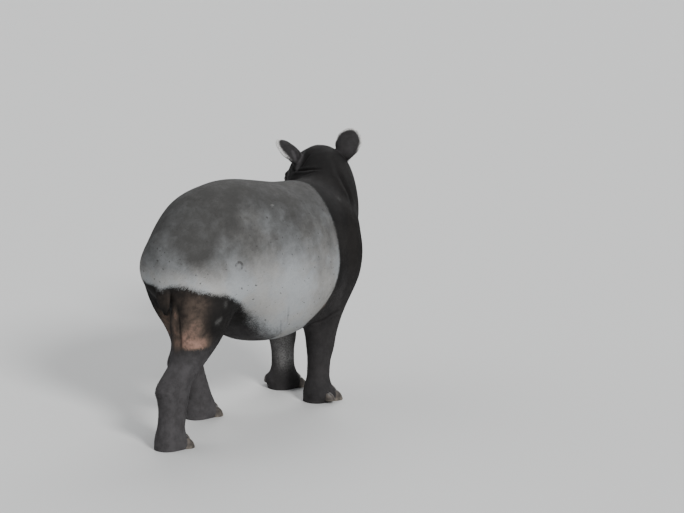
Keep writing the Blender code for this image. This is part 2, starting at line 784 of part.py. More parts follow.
def open_nostrils(snout):
    """Two nostrils in the end of the proboscis."""
    forward, left, up = HEAD_AXES
    h, height, drop = PROBOSCIS[-1][:3]
    lean = math.radians(drop)
    ahead = math.cos(lean) * forward - math.sin(lean) * up
    square = math.cos(lean) * up + math.sin(lean) * forward
    for side in (1, -1):
        mesh = bmesh.new()
        centre = in_head(h, side * NOSTRIL_SIDE, height) + NOSTRIL_RISE * square
        wide, tall, deep = NOSTRIL_RADII
        add_ball(mesh, centre, (wide, tall, deep), (left, square, ahead), 12)
        boolean(snout, "DIFFERENCE", new_object("nostril", mesh))


def make_ears(whole):
    """Two cupped ears, each closed at its root, where it meets the whole flesh face to face."""
    axes = np.array(HEAD_AXES)
    for name, (place, length_way, open_way) in EARS.items():
        tall = np.array(length_way) @ axes
        tall /= np.linalg.norm(tall)
        facing = np.array(open_way) @ axes
        facing -= tall * (facing @ tall)
        facing /= np.linalg.norm(facing)
        across = np.cross(tall, facing)
        root = in_head(*place)
        rings = []
        for share, half, deep, hollow in smooth_rows(EAR_SHAPE, 15):
            centre = root + tall * share * EAR_LENGTH
            rings.append(ear_section(centre, across, facing, half, deep, hollow))
        mesh = bmesh.new()
        add_loft(mesh, rings)
        ear = new_object("ear_" + name, mesh)
        boolean(ear, "DIFFERENCE", grown(whole, SEAT_GAP))


def ear_section(centre, across, facing, half, deep, hollow, count=9):
    """A crescent: the ear's round back, its two rims and the inside of its cup."""
    turn = np.linspace(-math.pi / 2, math.pi / 2, count)
    thick = min(EAR_THICK, half * 0.45)
    inner_half = half - thick
    inner_deep = max(deep - thick, 0.0) * hollow
    back = [centre + half * math.sin(a) * across - deep * math.cos(a) * facing for a in turn]
    cup = [
        centre + inner_half * math.sin(a) * across - inner_deep * math.cos(a) * facing
        for a in turn[::-1]
    ]
    lift = thick * 0.45 * facing
    right_rim = centre + (half - thick / 2) * across + lift
    left_rim = centre - (half - thick / 2) * across + lift
    return np.array([*back, right_rim, *cup, left_rim])


def make_tail(whole):
    """The short tail, which hangs flat against the rump."""
    rings = []
    path = along_index(TAIL, 10)
    for i, (f, l, z, half, deep) in enumerate(path):
        ahead, behind = path[min(i + 1, len(path) - 1)], path[max(i - 1, 0)]
        run = ahead[:3] - behind[:3]
        run /= np.linalg.norm(run)
        rings.append(section((f, l, z), LEFT, np.cross(run, LEFT), half, deep, deep, 2.0, 12))
    mesh = bmesh.new()
    add_loft(mesh, rings)
    tail = new_object("tail", mesh)
    boolean(tail, "DIFFERENCE", grown(whole, SEAT_GAP))


# Hooves

def make_hooves(leg):
    """The hoof of each toe, set into the front of the foot."""
    foot = bpy.data.objects[leg + "_foot"]
    for number, heading, left, tip, half, high, lift in toes_of(leg):
        long = HOOF_LENGTH * half
        rings = []
        for share, size, set_back in HOOF_RISE:
            centre = tip - (long + set_back * half) * heading + (lift + share * high) * UP
            wide = half * size
            rings.append(section(centre, heading, left, long * size, wide, wide, 2.3, 12))
        mesh = bmesh.new()
        add_loft(mesh, rings)
        hoof = new_object(f"{leg}_hoof_{number}", mesh)
        boolean(foot, "DIFFERENCE", grown(hoof, SEAT_GAP))


# Finish

def material(name):
    """A plain finish for one colour of the coat."""
    found = bpy.data.materials.get(name)
    if found is None:
        found = bpy.data.materials.new(name)
        found.use_nodes = True
        shader = found.node_tree.nodes["Principled BSDF"]
        shader.inputs["Base Color"].default_value = (*COLOURS[name], 1.0)
        shader.inputs["Roughness"].default_value = ROUGHNESS[name]
    return found


def slot_of(name):
    """The finish that a piece wears."""
    for word, slot in (("torso", "saddle"), ("ear", "ear"), ("eye", "eye"), ("hoof", "hoof")):
        if word in name:
            return slot
    return "black"


def finish(obj):
    """Triangulates a piece, gives it its material and shades it smooth."""
    mesh = bmesh.new()
    mesh.from_mesh(obj.data)
    bmesh.ops.remove_doubles(mesh, verts=mesh.verts, dist=0.00002)
    bmesh.ops.triangulate(mesh, faces=mesh.faces)
    mesh.to_mesh(obj.data)
    mesh.free()
    largest_body(obj)
    obj.data.materials.clear()
    obj.data.materials.append(material(slot_of(obj.name)))
    obj.data.shade_smooth()
    obj.data.set_sharp_from_angle(angle=math.radians(50))


def main():
    for obj in list(bpy.data.objects):
        bpy.data.objects.remove(obj)
    flesh = make_flesh()
    make_ears(flesh)
    make_tail(flesh)
    part_legs(flesh)
    part_front(flesh)
    part_lips()
    make_eyes(bpy.data.objects["head"])
    open_nostrils(bpy.data.objects["snout"])
    for leg in LEGS:
        make_hooves(leg)
    for obj in list(tapir_collection().objects):
        finish(obj)


main()
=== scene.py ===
import math

import bmesh
import bpy
import numpy as np
from mathutils import Matrix, Vector
from mathutils.bvhtree import BVHTree


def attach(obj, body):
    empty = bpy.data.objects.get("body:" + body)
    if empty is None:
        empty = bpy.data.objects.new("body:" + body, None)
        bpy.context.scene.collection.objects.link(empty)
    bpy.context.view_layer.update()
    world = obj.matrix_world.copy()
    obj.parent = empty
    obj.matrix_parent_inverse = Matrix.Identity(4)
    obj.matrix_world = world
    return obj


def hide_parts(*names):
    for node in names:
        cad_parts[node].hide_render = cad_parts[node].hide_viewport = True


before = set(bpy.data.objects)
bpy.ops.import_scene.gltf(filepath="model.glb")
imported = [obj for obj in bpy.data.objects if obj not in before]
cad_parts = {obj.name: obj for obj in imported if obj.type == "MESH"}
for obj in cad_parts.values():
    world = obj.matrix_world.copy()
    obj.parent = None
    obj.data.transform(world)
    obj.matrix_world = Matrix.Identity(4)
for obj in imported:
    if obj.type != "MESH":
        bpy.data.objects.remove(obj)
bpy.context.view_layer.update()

# Where the rump's end and the midline lie in the row's frame.
RUMP_Y = 0.6496
MIDLINE_X = -0.0927

# Smoothing fades out below this height over this depth, and round the head (h, height) over these radii.
SMOOTH_FLOOR = (0.30, 0.22)
SMOOTH_HEAD = (0.06, -0.02)
SMOOTH_HEAD_RADII = (0.16, 0.30)

FORWARD = np.array((1.0, 0.0, 0.0))
LEFT = np.array((0.0, 1.0, 0.0))
UP = np.array((0.0, 0.0, 1.0))


def mm(*rows):
    """Rows of millimetres as metres."""
    return tuple(tuple(v / 1000 for v in row) for row in rows)


# Trunk sections: f, midline's l, top, bottom, half width, height of the widest point, and
# the power of the upper half, which is lower where the back slopes off like a roof.
TRUNK = (
    (0, 0, 0.748, 0.671, 0.043, 0.708, 2.1), (0.02, 0, 0.79, 0.605, 0.102, 0.68, 1.98),
    (0.06, 0, 0.825, 0.566, 0.134, 0.698, 1.82), (0.12, 0, 0.901, 0.515, 0.153, 0.688, 1.86),
    (0.22, 0, 0.968, 0.475, 0.2, 0.68, 1.98), (0.33, 0, 0.994, 0.446, 0.248, 0.65, 1.76),
    (0.41, 0, 0.994, 0.392, 0.265, 0.625, 1.95), (0.5, 0, 0.987, 0.315, 0.278, 0.6, 2.1),
    (0.65, 0, 0.955, 0.293, 0.286, 0.575, 2.15), (0.8, 0.002, 0.92, 0.307, 0.272, 0.58, 2.15),
    (0.94, 0.008, 0.902, 0.36, 0.235, 0.605, 2.15), (1.05, 0.018, 0.882, 0.43, 0.185, 0.635, 2.15),
    (1.13, 0.03, 0.85, 0.505, 0.13, 0.66, 2.15), (1.18, 0.04, 0.8, 0.58, 0.07, 0.68, 2.15),
)
TRUNK_POWER = 2.15

# Neck sections: centre (f, l, z), yaw to the left, pitch up, half width, up, down.
NECK = (
    (0.9, 0, 0.66, 5, 5, 0.175, 0.205, 0.215), (1.02, 0.008, 0.695, 14, 14, 0.162, 0.195, 0.21),
    (1.11, 0.037, 0.74, 28, 20, 0.151, 0.18, 0.195), (1.18, 0.089, 0.8, 42, 18, 0.134, 0.155, 0.175),
    (1.225, 0.134, 0.84, 56, 2, 0.116, 0.135, 0.155), (1.255, 0.18, 0.86, 62, -15, 0.092, 0.11, 0.135),
)
NECK_POWER = 2.1

# The head's own frame: where its axis crosses the ears, and how it is turned.
HEAD_AT = (1.220, 0.140, 0.885)
HEAD_YAW = 64.0
HEAD_PITCH = -28.0
HEAD_ROLL = -6.0

# Skull and jaw sections along the head: h, top, bottom, half width, level of the widest point.
SKULL = mm(
    (-75, 50, -105, 70, -20), (-45, 82, -140, 92, -20), (0, 98, -152, 112, -18), (60, 101, -158, 119, -23),
    (120, 92, -156, 110, -30), (180, 76, -146, 91, -30), (240, 55, -134, 74, -32), (295, 34, -124, 60, -38),
    (340, 16, -116, 48, -50), (368, -10, -106, 32, -64),
)
SKULL_POWER = 2.15

# Proboscis sections: centre h, centre height, drop of its axis, half width, half height.
PROBOSCIS = (
    (0.215, -0.004, 6, 0.07, 0.05), (0.285, -0.013, 12, 0.061, 0.048), (0.345, -0.03, 22, 0.053, 0.045),
    (0.39, -0.054, 38, 0.047, 0.042), (0.42, -0.084, 54, 0.042, 0.038), (0.436, -0.113, 66, 0.038, 0.033),
    (0.441, -0.132, 70, 0.033, 0.026),
)

# Muscle and bone that show under the skin of the head: h, side, height and three radii.
HEAD_SWELLS = mm(
    (64, 80, -44, 90, 50, 90), (175, 64, 26, 55, 26, 22), (14, 76, 6, 66, 50, 60), (85, 0, 62, 90, 60, 44),
)

# The roll of skin on the inside of the neck's bend: centre (f, l, z), yaw and three radii.
NECK_ROLL = ((1.100, 0.130, 0.775), 36, (0.110, 0.090, 0.130))

# Hind leg sections, standing square: z, back f, front f, inner l, outer l.
HIND_LEG = mm(
    (900, 195, 325, 40, 118), (860, 135, 372, 20, 144), (780, 98, 408, 10, 176), (700, 64, 425, 5, 216),
    (620, 55, 415, 4, 236), (540, 58, 378, 4, 232), (470, 66, 345, 12, 217), (400, 88, 312, 26, 196),
    (340, 94, 262, 36, 178), (300, 72, 226, 38, 168), (265, 30, 204, 44, 162), (240, 13, 196, 48, 158),
    (200, 34, 190, 52, 156), (140, 56, 188, 56, 154), (90, 62, 186, 56, 154), (55, 56, 194, 50, 160),
    (30, 50, 200, 48, 162), (-30, 50, 200, 48, 162),
)

# Foreleg sections, standing square: z, back f, front f, inner l, outer l.
FORE_LEG = mm(
    (840, 930, 1050, 50, 125), (780, 890, 1090, 30, 172), (700, 865, 1120, 15, 204),
    (600, 845, 1138, 12, 216), (520, 820, 1135, 16, 214), (450, 800, 1100, 28, 206),
    (390, 806, 1055, 44, 197), (330, 828, 1020, 58, 188), (270, 850, 1002, 68, 178),
    (220, 862, 998, 72, 172), (160, 876, 980, 76, 166), (100, 880, 976, 76, 168), (60, 868, 990, 68, 178),
    (30, 862, 998, 66, 182), (-30, 862, 998, 66, 182),
)
LEG_POWER = 2.2

# Each leg: its sections, side, how far forward its foot is set, how far outward, the height
# that it swings from, and where its sole's middle is when the leg stands square.
LEGS = {
    "hind_right": (HIND_LEG, -1, -0.160, 0.006, 0.80, (0.125, 0.105)),
    "hind_left": (HIND_LEG, 1, 0.265, -0.004, 0.80, (0.125, 0.105)),
    "fore_right": (FORE_LEG, -1, -0.045, -0.006, 0.62, (0.930, 0.124)),
    "fore_left": (FORE_LEG, 1, 0.020, 0.000, 0.62, (0.930, 0.124)),
}
SWING_EASE = 1.15
ANKLE = 0.070

# Toes: turn outward, set outward of the sole's middle, reach, half width, hoof height and
# lift off the floor.
HIND_TOES = (
    (-20, -0.036, 0.078, 0.0225, 0.042, 0.0),
    (0, 0.0, 0.112, 0.0275, 0.050, 0.0),
    (20, 0.036, 0.078, 0.0225, 0.042, 0.0),
)
FORE_TOES = (
    (-20, -0.037, 0.080, 0.0225, 0.042, 0.0),
    (0, 0.0, 0.114, 0.0275, 0.050, 0.0),
    (20, 0.037, 0.082, 0.0235, 0.042, 0.0),
    (50, 0.086, 0.004, 0.0170, 0.032, 0.012),
)

# The fleshy lobe behind each hoof: set back from the toe's tip, half length, width and height
# per hoof, and height of its middle.
TOE_BACK = 0.066
TOE_LONG = 0.050
TOE_WIDE = 1.16
TOE_HIGH = 0.86
TOE_LEVEL = 0.022

# Hooves: half the length per half width, then up a hoof the share of its height, the share
# of its size, and how far it is set back per half width.
HOOF_LENGTH = 1.3
HOOF_RISE = (
    (0, 1, 0), (0.55, 0.92, 0.29), (1, 0.66, 0.73),
)

# Tail: f, l, z, half width, half depth, from the root to the tip.
TAIL = mm(
    (95, -4, 668, 40, 30), (48, -14, 648, 40, 26), (24, -27, 615, 39, 20), (16, -36, 580, 34, 15),
    (18, -40, 548, 22, 11), (24, -41, 526, 10, 7),
)

# Ears: place in the head's frame, the way the length points, and the way the cup opens.
EAR_LENGTH = 0.138
EARS = {
    "left": ((0.006, 0.084, 0.040), (-0.19, 0.64, 0.75), (0.71, 0.70, 0.00)),
    "right": ((-0.017, -0.093, 0.012), (-0.32, -0.57, 0.76), (0.91, -0.42, -0.07)),
}
# Along the ear: share of its length, half width, depth of its back, share that is hollow.
EAR_SHAPE = (
    (-0.25, 0.022, 0.02, 0), (0, 0.026, 0.024, 0), (0.1, 0.033, 0.029, 0.4), (0.24, 0.043, 0.033, 0.85),
    (0.42, 0.0515, 0.031, 1), (0.6, 0.0535, 0.025, 1), (0.76, 0.048, 0.018, 1), (0.89, 0.035, 0.011, 1),
    (0.97, 0.019, 0.006, 1), (1, 0.008, 0.004, 0.6),
)
EAR_THICK = 0.0045

# Eyes: place of the ball in the head's frame, its radius, and how far it looks outward.
EYE_AT = (0.192, 0.0700, 0.014)
EYE_RADIUS = 0.0170
EYE_TURN = 72

# Mouth: the line of the lips from the corner to the front, h and height.
MOUTH = mm((246, -82), (285, -78), (325, -77), (362, -83))

# Nostrils: half the distance between them, and how far above the proboscis's axis.
NOSTRIL_SIDE = 0.0125
NOSTRIL_RISE = 0.004


def to_row(points):
    """Body coordinates (f, l, z) as the row's x, y and z."""
    points = np.asarray(points, float)
    f, l, z = points[..., 0], points[..., 1], points[..., 2]
    return np.stack((l + MIDLINE_X, RUMP_Y - f, z), axis=-1)


def smooth_rows(rows, count):
    """The rows of a table of sizes at count even steps of its first column, on a curve that
    keeps their shape."""
    rows = np.array(rows, float)
    if rows[0, 0] > rows[-1, 0]:
        rows = rows[::-1]
    x = rows[:, 0]
    gaps = np.diff(x)
    slopes = np.diff(rows, axis=0) / gaps[:, None]
    tangents = np.zeros_like(rows)
    tangents[0], tangents[-1] = slopes[0], slopes[-1]
    before, after = slopes[:-1], slopes[1:]
    same = before * after > 0
    mean = np.where(same, before + after, 1.0)
    tangents[1:-1] = np.where(same, 2 * before * after / mean, 0.0)
    at = np.linspace(x[0], x[-1], count)
    i = np.clip(np.searchsorted(x, at, side="right") - 1, 0, len(x) - 2)
    h = gaps[i][:, None]
    t = ((at - x[i]) / gaps[i])[:, None]
    return (
        (2 * t**3 - 3 * t**2 + 1) * rows[i]
        + (t**3 - 2 * t**2 + t) * h * tangents[i]
        + (3 * t**2 - 2 * t**3) * rows[i + 1]
        + (t**3 - t**2) * h * tangents[i + 1]
    )


def along_index(rows, count):
    """The rows at count even steps of their own order, for a table that doubles back."""
    numbered = [(i, *row) for i, row in enumerate(rows)]
    return smooth_rows(numbered, count)[:, 1:]


def directions(yaw, pitch, roll=0.0):
    """Unit vectors forward, left and up of something turned left by yaw and raised by pitch, in degrees."""
    turn = Matrix.Rotation(math.radians(yaw), 3, "Z")
    raise_ = Matrix.Rotation(math.radians(-pitch), 3, "Y")
    lean = Matrix.Rotation(math.radians(roll), 3, "X")
    axes = np.array(turn @ raise_ @ lean)
    return axes[:, 0], axes[:, 1], axes[:, 2]


HEAD_AXES = directions(HEAD_YAW, HEAD_PITCH, HEAD_ROLL)


def in_head(h, side, height):
    """A point of the head's own frame in body coordinates."""
    forward, left, up = HEAD_AXES
    return np.array(HEAD_AT) + h * forward + side * left + height * up


def section(centre, across, along, half_across, high, low, power, count):
    """A closed section: a superellipse that reaches high and low from its centre."""
    turn = np.linspace(0, 2 * math.pi, count, endpoint=False)
    c, s = np.cos(turn), np.sin(turn)
    a = np.sign(c) * np.abs(c) ** (2 / power) * half_across
    b = np.sign(s) * np.abs(s) ** (2 / power) * np.where(s > 0, high, low)
    return np.asarray(centre) + a[:, None] * across + b[:, None] * along


def add_loft(mesh, rings):
    """Adds the closed skin over a row of sections, with both ends closed by a fan."""
    rings = list(rings)
    rows = [[mesh.verts.new(p) for p in to_row(ring)] for ring in rings]
    count = len(rows[0])
    for near, far in zip(rows[:-1], rows[1:]):
        for i in range(count):
            j = (i + 1) % count
            mesh.faces.new((near[i], near[j], far[j], far[i]))
    for end in (0, -1):
        middle = mesh.verts.new(to_row(np.mean(rings[end], axis=0)))
        for i in range(count):
            mesh.faces.new((rows[end][i], rows[end][(i + 1) % count], middle))


def add_ball(mesh, centre, radii, axes, segments=24):
    """Adds an ellipsoid with its radii along three axes, all in body coordinates."""
    made = bmesh.ops.create_uvsphere(mesh, u_segments=segments, v_segments=segments // 2, radius=1.0)
    for vert in made["verts"]:
        reach = sum(vert.co[i] * radii[i] * np.asarray(axes[i]) for i in range(3))
        vert.co = to_row(np.asarray(centre) + reach)


def trunk_rings():
    """Sections of the body from the rump to the chest."""
    for f, l, top, bottom, half, level, roof in smooth_rows(TRUNK, 44):
        lower, upper = (
            section((f, l, level), LEFT, UP, half, top - level, level - bottom, power, 48)
            for power in (TRUNK_POWER, roof)
        )
        yield np.where(lower[:, 2:] > level, upper, lower)


def neck_rings():
    """Sections of the neck, square to its own bend."""
    for f, l, z, yaw, pitch, half, high, low in smooth_rows(NECK, 24):
        _, left, up = directions(yaw, pitch)
        yield section((f, l, z), left, up, half, high, low, NECK_POWER, 40)


def skull_rings():
    """Sections of the head without its proboscis."""
    _, left, up = HEAD_AXES
    for h, top, bottom, half, level in smooth_rows(SKULL, 30):
        yield section(in_head(h, 0, level), left, up, half, top - level, level - bottom, SKULL_POWER, 36)


def proboscis_rings():
    """Sections of the drooping proboscis, square to its bend."""
    forward, left, up = HEAD_AXES
    for h, height, drop, half, deep in along_index(PROBOSCIS, 24):
        lean = math.radians(drop)
        square = math.cos(lean) * up + math.sin(lean) * forward
        yield section(in_head(h, 0, height), left, square, half, deep, deep, 2.2, 28)


def leg_offset(leg, z):
    """How far a leg's section at height z is moved forward and outward from the square stance."""
    _, _, reach, spread, hinge, _ = LEGS[leg]
    share = np.clip((hinge - z) / (hinge - ANKLE), 0, 1) ** SWING_EASE
    return reach * share, spread * share


def leg_rings(leg):
    """Level sections of one leg, from the haunch or shoulder to below the floor."""
    table, side = LEGS[leg][:2]
    for z, back, front, inner, outer in smooth_rows(table, 60):
        ahead, out = leg_offset(leg, z)
        centre = ((back + front) / 2 + ahead, side * ((inner + outer) / 2 + out), z)
        half = (outer - inner) / 2
        yield section(centre, FORWARD, LEFT, (front - back) / 2, half, half, LEG_POWER, 32)


def sole_middle(leg):
    """Where the middle of a leg's sole stands, in body coordinates."""
    _, side, _, _, _, (f, l) = LEGS[leg]
    ahead, out = leg_offset(leg, 0.0)
    return np.array((f + ahead, side * (l + out), 0.0))


def toes_of(leg):
    """Each toe of a leg: its number, heading, left vector, tip and sizes."""
    side = LEGS[leg][1]
    toes = HIND_TOES if leg.startswith("hind") else FORE_TOES
    for number, (turn, out, reach, half, high, lift) in enumerate(toes, start=1):
        heading, left, _ = directions(turn * side, 0)
        tip = sole_middle(leg) + side * out * LEFT + reach * heading
        yield number, heading, left, tip, half, high, lift


def add_toes(mesh, leg):
    """Adds the fleshy toes of one foot, each a rounded lobe behind its hoof."""
    for _, heading, left, tip, half, high, lift in toes_of(leg):
        centre = tip - TOE_BACK * heading + (TOE_LEVEL + lift) * UP
        add_ball(mesh, centre, (TOE_LONG, half * TOE_WIDE, high * TOE_HIGH), (heading, left, UP), 16)


def smoothing_share(points):
    """How strongly each point of the flesh is smoothed: fully on the trunk, hardly on head and feet."""
    body = from_row(points)
    floor, fade = SMOOTH_FLOOR
    near, far = SMOOTH_HEAD_RADII
    away = apart(body, in_head(SMOOTH_HEAD[0], 0, SMOOTH_HEAD[1]))
    return np.clip((body[:, 2] - floor) / fade, 0, 1) * np.clip((away - near) / (far - near), 0, 1)


def numbers_of(items, field, width, kind=np.float32):
    """One field of all of a mesh's items, as rows of that width."""
    found = np.empty(len(items) * width, kind)
    items.foreach_get(field, found)
    return found.reshape(-1, width)


def points_of(obj):
    """The object's vertices as an array."""
    return numbers_of(obj.data.vertices, "co", 3).astype(float)


def normals_of(obj):
    """The vertex normals as an array."""
    return numbers_of(obj.data.vertex_normals, "vector", 3).astype(float)


def ear_section(centre, across, facing, half, deep, hollow, count=19):
    """A crescent: the ear's round back, its two rims and the inside of its cup."""
    def arc(half, deep, turn):
        return [centre + half * math.sin(a) * across - deep * math.cos(a) * facing for a in turn]

    turn = np.linspace(-math.pi / 2, math.pi / 2, count)
    thick = min(EAR_THICK, half * 0.45)
    cup = arc(half - thick, max(deep - thick, 0.0) * hollow, turn[::-1])
    rim, lift = (half - thick / 2) * across, thick * 0.45 * facing
    return np.array([*arc(half, deep, turn), centre + rim + lift, *cup, centre - rim + lift])


# The scene's own sizes

# The skin's voxel, and how deep it lies under the coat on the body and on the feet.
SKIN_VOXEL = 0.006
COAT_DEPTH = 0.0022
FOOT_DEPTH = 0.0010

# The camera: turn left of the animal's heading, drop, distance, pixels per metre there, the
# pixel of the body's own origin, and the picture's size.
VIEW_TURN = 39.0
VIEW_DROP = 14.0
VIEW_AWAY = 20.0
VIEW_SCALE = 250.0
ORIGIN_PX = (155.4, 441.0)
FRAME_PX = (684, 513)

# The pale saddle's front edge (z, f) and its lower edge on the haunch (f, z).
SADDLE_FRONT = mm(
    (200, 600), (300, 670), (356, 713), (392, 712), (428, 748), (465, 788), (509, 823), (558, 852),
    (608, 868), (707, 869), (807, 875), (849, 884), (876, 894), (896, 920), (1000, 950),
)
SADDLE_LOW = mm(
    (-100, 634), (10, 640), (33, 650), (48, 642), (74, 629), (113, 617), (177, 602), (231, 574), (311, 532),
    (357, 491), (404, 446), (453, 402), (492, 369), (574, 336), (620, 250), (660, 100),
)

# How dark the saddle's grey is at each height: smoky fur, with painted shade that darkens the back where it
# turns away from the light.
SMOKE_AND_SHADE = (
    (0.4, 0.02), (0.56, 0.08), (0.62, 0.22), (0.68, 0.42), (0.76, 0.7), (0.84, 0.84), (0.92, 0.92), (1, 1),
)
# Smudges on both sides, each along a line of (f, l, z): how far it reaches, and how much darker it is. The
# narrow lighter streak along the rump's top is a painted highlight.
# The left side has this share of them.
SMUDGE_AND_HIGHLIGHT_LEFT = 0.55
SMUDGES_AND_HIGHLIGHT = (
    (((0.210, 0.085, 0.920), (0.130, 0.095, 0.840), (0.112, 0.130, 0.790)), 0.078, 0.30),
    # A painted highlight: a narrow lighter streak along the rump's top.
    (((0.08, 0.055, 0.882), (0.129, 0.055, 0.914), (0.19, 0.054, 0.945), (0.245, 0.054, 0.97)), 0.023, -0.27),
    (((0.374, 0.175, 0.882), (0.440, 0.193, 0.850)), 0.060, -0.15),
)
# An old ring-shaped mark on the flank: its middle in body coordinates, and its radius.
RING = (0.263, -0.230, 0.707)
RING_RADIUS = 0.0185

# Folds of the skin: depth, width, lip and the darkness of the shade painted into them, and a line of pixels
# where the camera sees it.
FOLDS = (
    ((0.0038, 0.0075, 0.20, 0.65), ((280, 179), (288, 174), (296, 171), (305, 170), (314, 169), (322, 169))),
    ((0.0014, 0.0055, 0.10, 0.35), ((301, 176), (307, 174), (313, 172), (318, 171))),
    ((0.0030, 0.0060, 0.25, 0.70), ((286, 157), (291, 163), (295, 169))),
    ((0.0030, 0.0070, 0.25, 0.70), ((310, 154), (305, 161), (301, 168))),
    # Along the neck's right side, where it turns away from the light: painted shade over a low fold.
    ((0.0045, 0.0130, 0.25, 0.60), ((333, 156), (338, 171), (344, 184), (349, 194), (352, 206), (354, 218))),
    ((0.0012, 0.0040, 0.30, 0.35), ((281, 319), (281, 329), (281, 338))),
    ((0.0010, 0.0040, 0.30, 0.25), ((289, 305), (288, 315), (287, 327))),
    ((0.0040, 0.0060, 0.30, 0.70), ((305, 325), (313, 323), (323, 320), (332, 314), (341, 310))),
    ((0.0018, 0.0050, 0.30, 0.40), ((324, 300), (330, 293), (334, 286))),
    # Between the thighs: painted shade of the gap, pressed in as a crease.
    ((0.0025, 0.0045, 0.20, 0.90), ((177, 304), (179, 316), (180, 330), (181, 342), (181, 352))),
)

# Low forms under the skin: the middle, how far it reaches, and how high it stands. Those of the
# head are in its own frame and on both sides: brow, cheekbone, hollow before the eye, cheek, jaw, lip.
BODY_FORMS = (((1.100, -0.145, 0.745), 0.058, 0.0105),)
HEAD_FORMS = (
    ((0.176, 0.078, 0.040), 0.020, 0.0045), ((0.208, 0.082, -0.018), 0.022, 0.0032),
    ((0.238, 0.062, 0.010), 0.024, -0.0040), ((0.098, 0.112, -0.085), 0.040, 0.0055),
    ((0.030, 0.105, -0.110), 0.030, -0.0045), ((0.305, 0.054, -0.052), 0.028, 0.0035),
    ((0.150, 0.100, -0.030), 0.030, -0.0030),
)

# Marks: a line of pixels where the camera sees it, how far it reaches, its strength, and the
# height that it ends at.
BARE = (
    (((188, 344), (195, 346), (202, 345)), 0.04, 0.74, 0.392),
    (((189, 334), (195, 328)), 0.045, 0.5, 0.392),
    (((192, 318), (196, 306)), 0.050, 0.25, 0.3), (((164, 300), (184, 300), (203, 304)), 0.045, 0.16, 0.3),
    (((174, 310), (176, 316)), 0.014, 0.52, 0.3), (((173, 320), (175, 334), (176, 345)), 0.026, 0.42, 0.3),
    (((165, 316), (168, 330), (171, 346)), 0.040, 0.46, 0.3), (((318, 310), (325, 304)), 0.014, 0.36, 0.3),
)
# White marks: the two on the shoulder are a scar painted white with its highlight, and the last is pale mud
# on the left foreleg, lightened further as painted light where the body shades it.
PALE_AND_LIT = (
    (((217, 322), (221, 319)), 0.008, 0.13, 0), (((219, 324),), 0.004, 0.07, 0),
    (((226, 303), (226, 305)), 0.0105, 0.06, 0), (((339, 198),), 0.012, 0.045, 0),
    (((333, 187),), 0.006, 0.025, 0), (((273, 205),), 0.0028, 0.7, 0),
    (((284, 337), (287, 358)), 0.042, 0.34, 0),
)
# Dusty marks; the first, on the left foreleg, is mud lightened further as painted light where the body shades
# it.
DUSTY_AND_LIT = (
    (((281, 340), (285, 352)), 0.06, 1, 0), (((293, 152), (295, 160), (297, 168)), 0.013, 1, 0),
    (((304, 152), (301, 160), (298, 168)), 0.01, 0.8, 0), (((344, 280), (338, 300)), 0.05, 0.3, 0),
    (((334, 192), (338, 205)), 0.05, 0.08, 0), (((312, 150), (318, 146)), 0.025, 0.15, 0),
)

# The voxel of the solids, for which the numbers of smoothing rounds were found, and those rounds:
# first by each point's own share, then over everything.
SOLID_VOXEL = 0.008
SMOOTH_ROUNDS = (60, 6)
# How far the seam of the ears and the tail is softened.
SEAM = (0.004, 0.014)
# Rounds of finer faces: how far from the eyes, from the lips' line and from the snout's tip. The
# first one also takes in the whole face and the ears with the nape round NAPE.
DETAIL = ((0.052, 0.030, 0.050), (0.040, 0.016, 0.034), (0.030, 0, 0))
NAPE = (1.16, 0.14, 0.80)
# Tufts: spread of their way, depth of the root, height of the tip, lowest height over the floor,
# and the size of each one's patch on the unwrap, which has this many strips.
TUFT_SPREAD = 0.13
TUFT_DEPTH = 0.0010
TUFT_TIP = 0.0003
TUFT_FLOOR = 0.0008
TUFT_PATCH = 0.003
STRIPS = 7
# Lids: how far their rim stands out of the ball and how deep the opening goes, the opening's
# half angles along, above and below, and the power of its outline.
LID_RIM = 0.0024
LID_DEPTH = 0.0050
LID_ANGLES = (0.86, 0.52, 0.44)
LID_POWER = 1.7
# The mouth's groove: depth and width. The lips: height, and place above the groove, and their width.
GROOVE = (0.0060, 0.0026)
LIPS = ((0.0022, -0.0085), (0.0016, 0.0080))
LIP_WIDTH = 0.0050
# Nostrils: two radii, depth and height of the rim. Wrinkles: height, and length of the two waves.
NOSTRIL_RADII = (0.0088, 0.0050)
NOSTRIL_DEPTH = 0.0120
NOSTRIL_RIM = 0.0012
WRINKLES = (0.0011, 0.0105, 0.034)
# How far the eyeball stays inside its solid, and how far its front bulges.
EYE_GAP = 0.0002
EYE_BULGE = 0.0006
# Ears: height of the rim's waves and their turn from root to tip in radians. The skin of the ears
# and of the tail lies this far inside the solids.
EAR_WAVE = (0.0012, 21)
EAR_COAT = 0.0006
TAIL_COAT = 0.002
# Hooves: how far the lower edge is worn in and over which share of the height, and the height of
# the rings of growth and their turn from the floor up in radians.
HOOF_WEAR = (0.07, 0.10)
HOOF_RINGS = (0.006, 38)
# The head's block: how far it reaches from the head's axis to the side, and up or down.
HEAD_BLOCK = (0.17, 0.26)
# The coat's pieces: number of tufts, seed of the random numbers, and a tuft's length, width and lift.
COATS = {
    "coat_saddle_left": (46000, 11, 0.014, 0.0034, 0.0006),
    "coat_saddle_right": (46000, 15, 0.014, 0.0034, 0.0006),
    "coat_front": (48000, 12, 0.014, 0.0034, 0.0006),
    "coat_hind_legs": (34000, 13, 0.012, 0.0030, 0.0006),
    "coat_fore_legs": (30000, 16, 0.012, 0.0030, 0.0006),
    "coat_head": (48000, 14, 0.0095, 0.0022, 0.0005),
}
# What the skin knows at each vertex.
MARKS = ("saddle", "smoke_and_painted_light", "rim", "bare", "dust", "fold_shade")

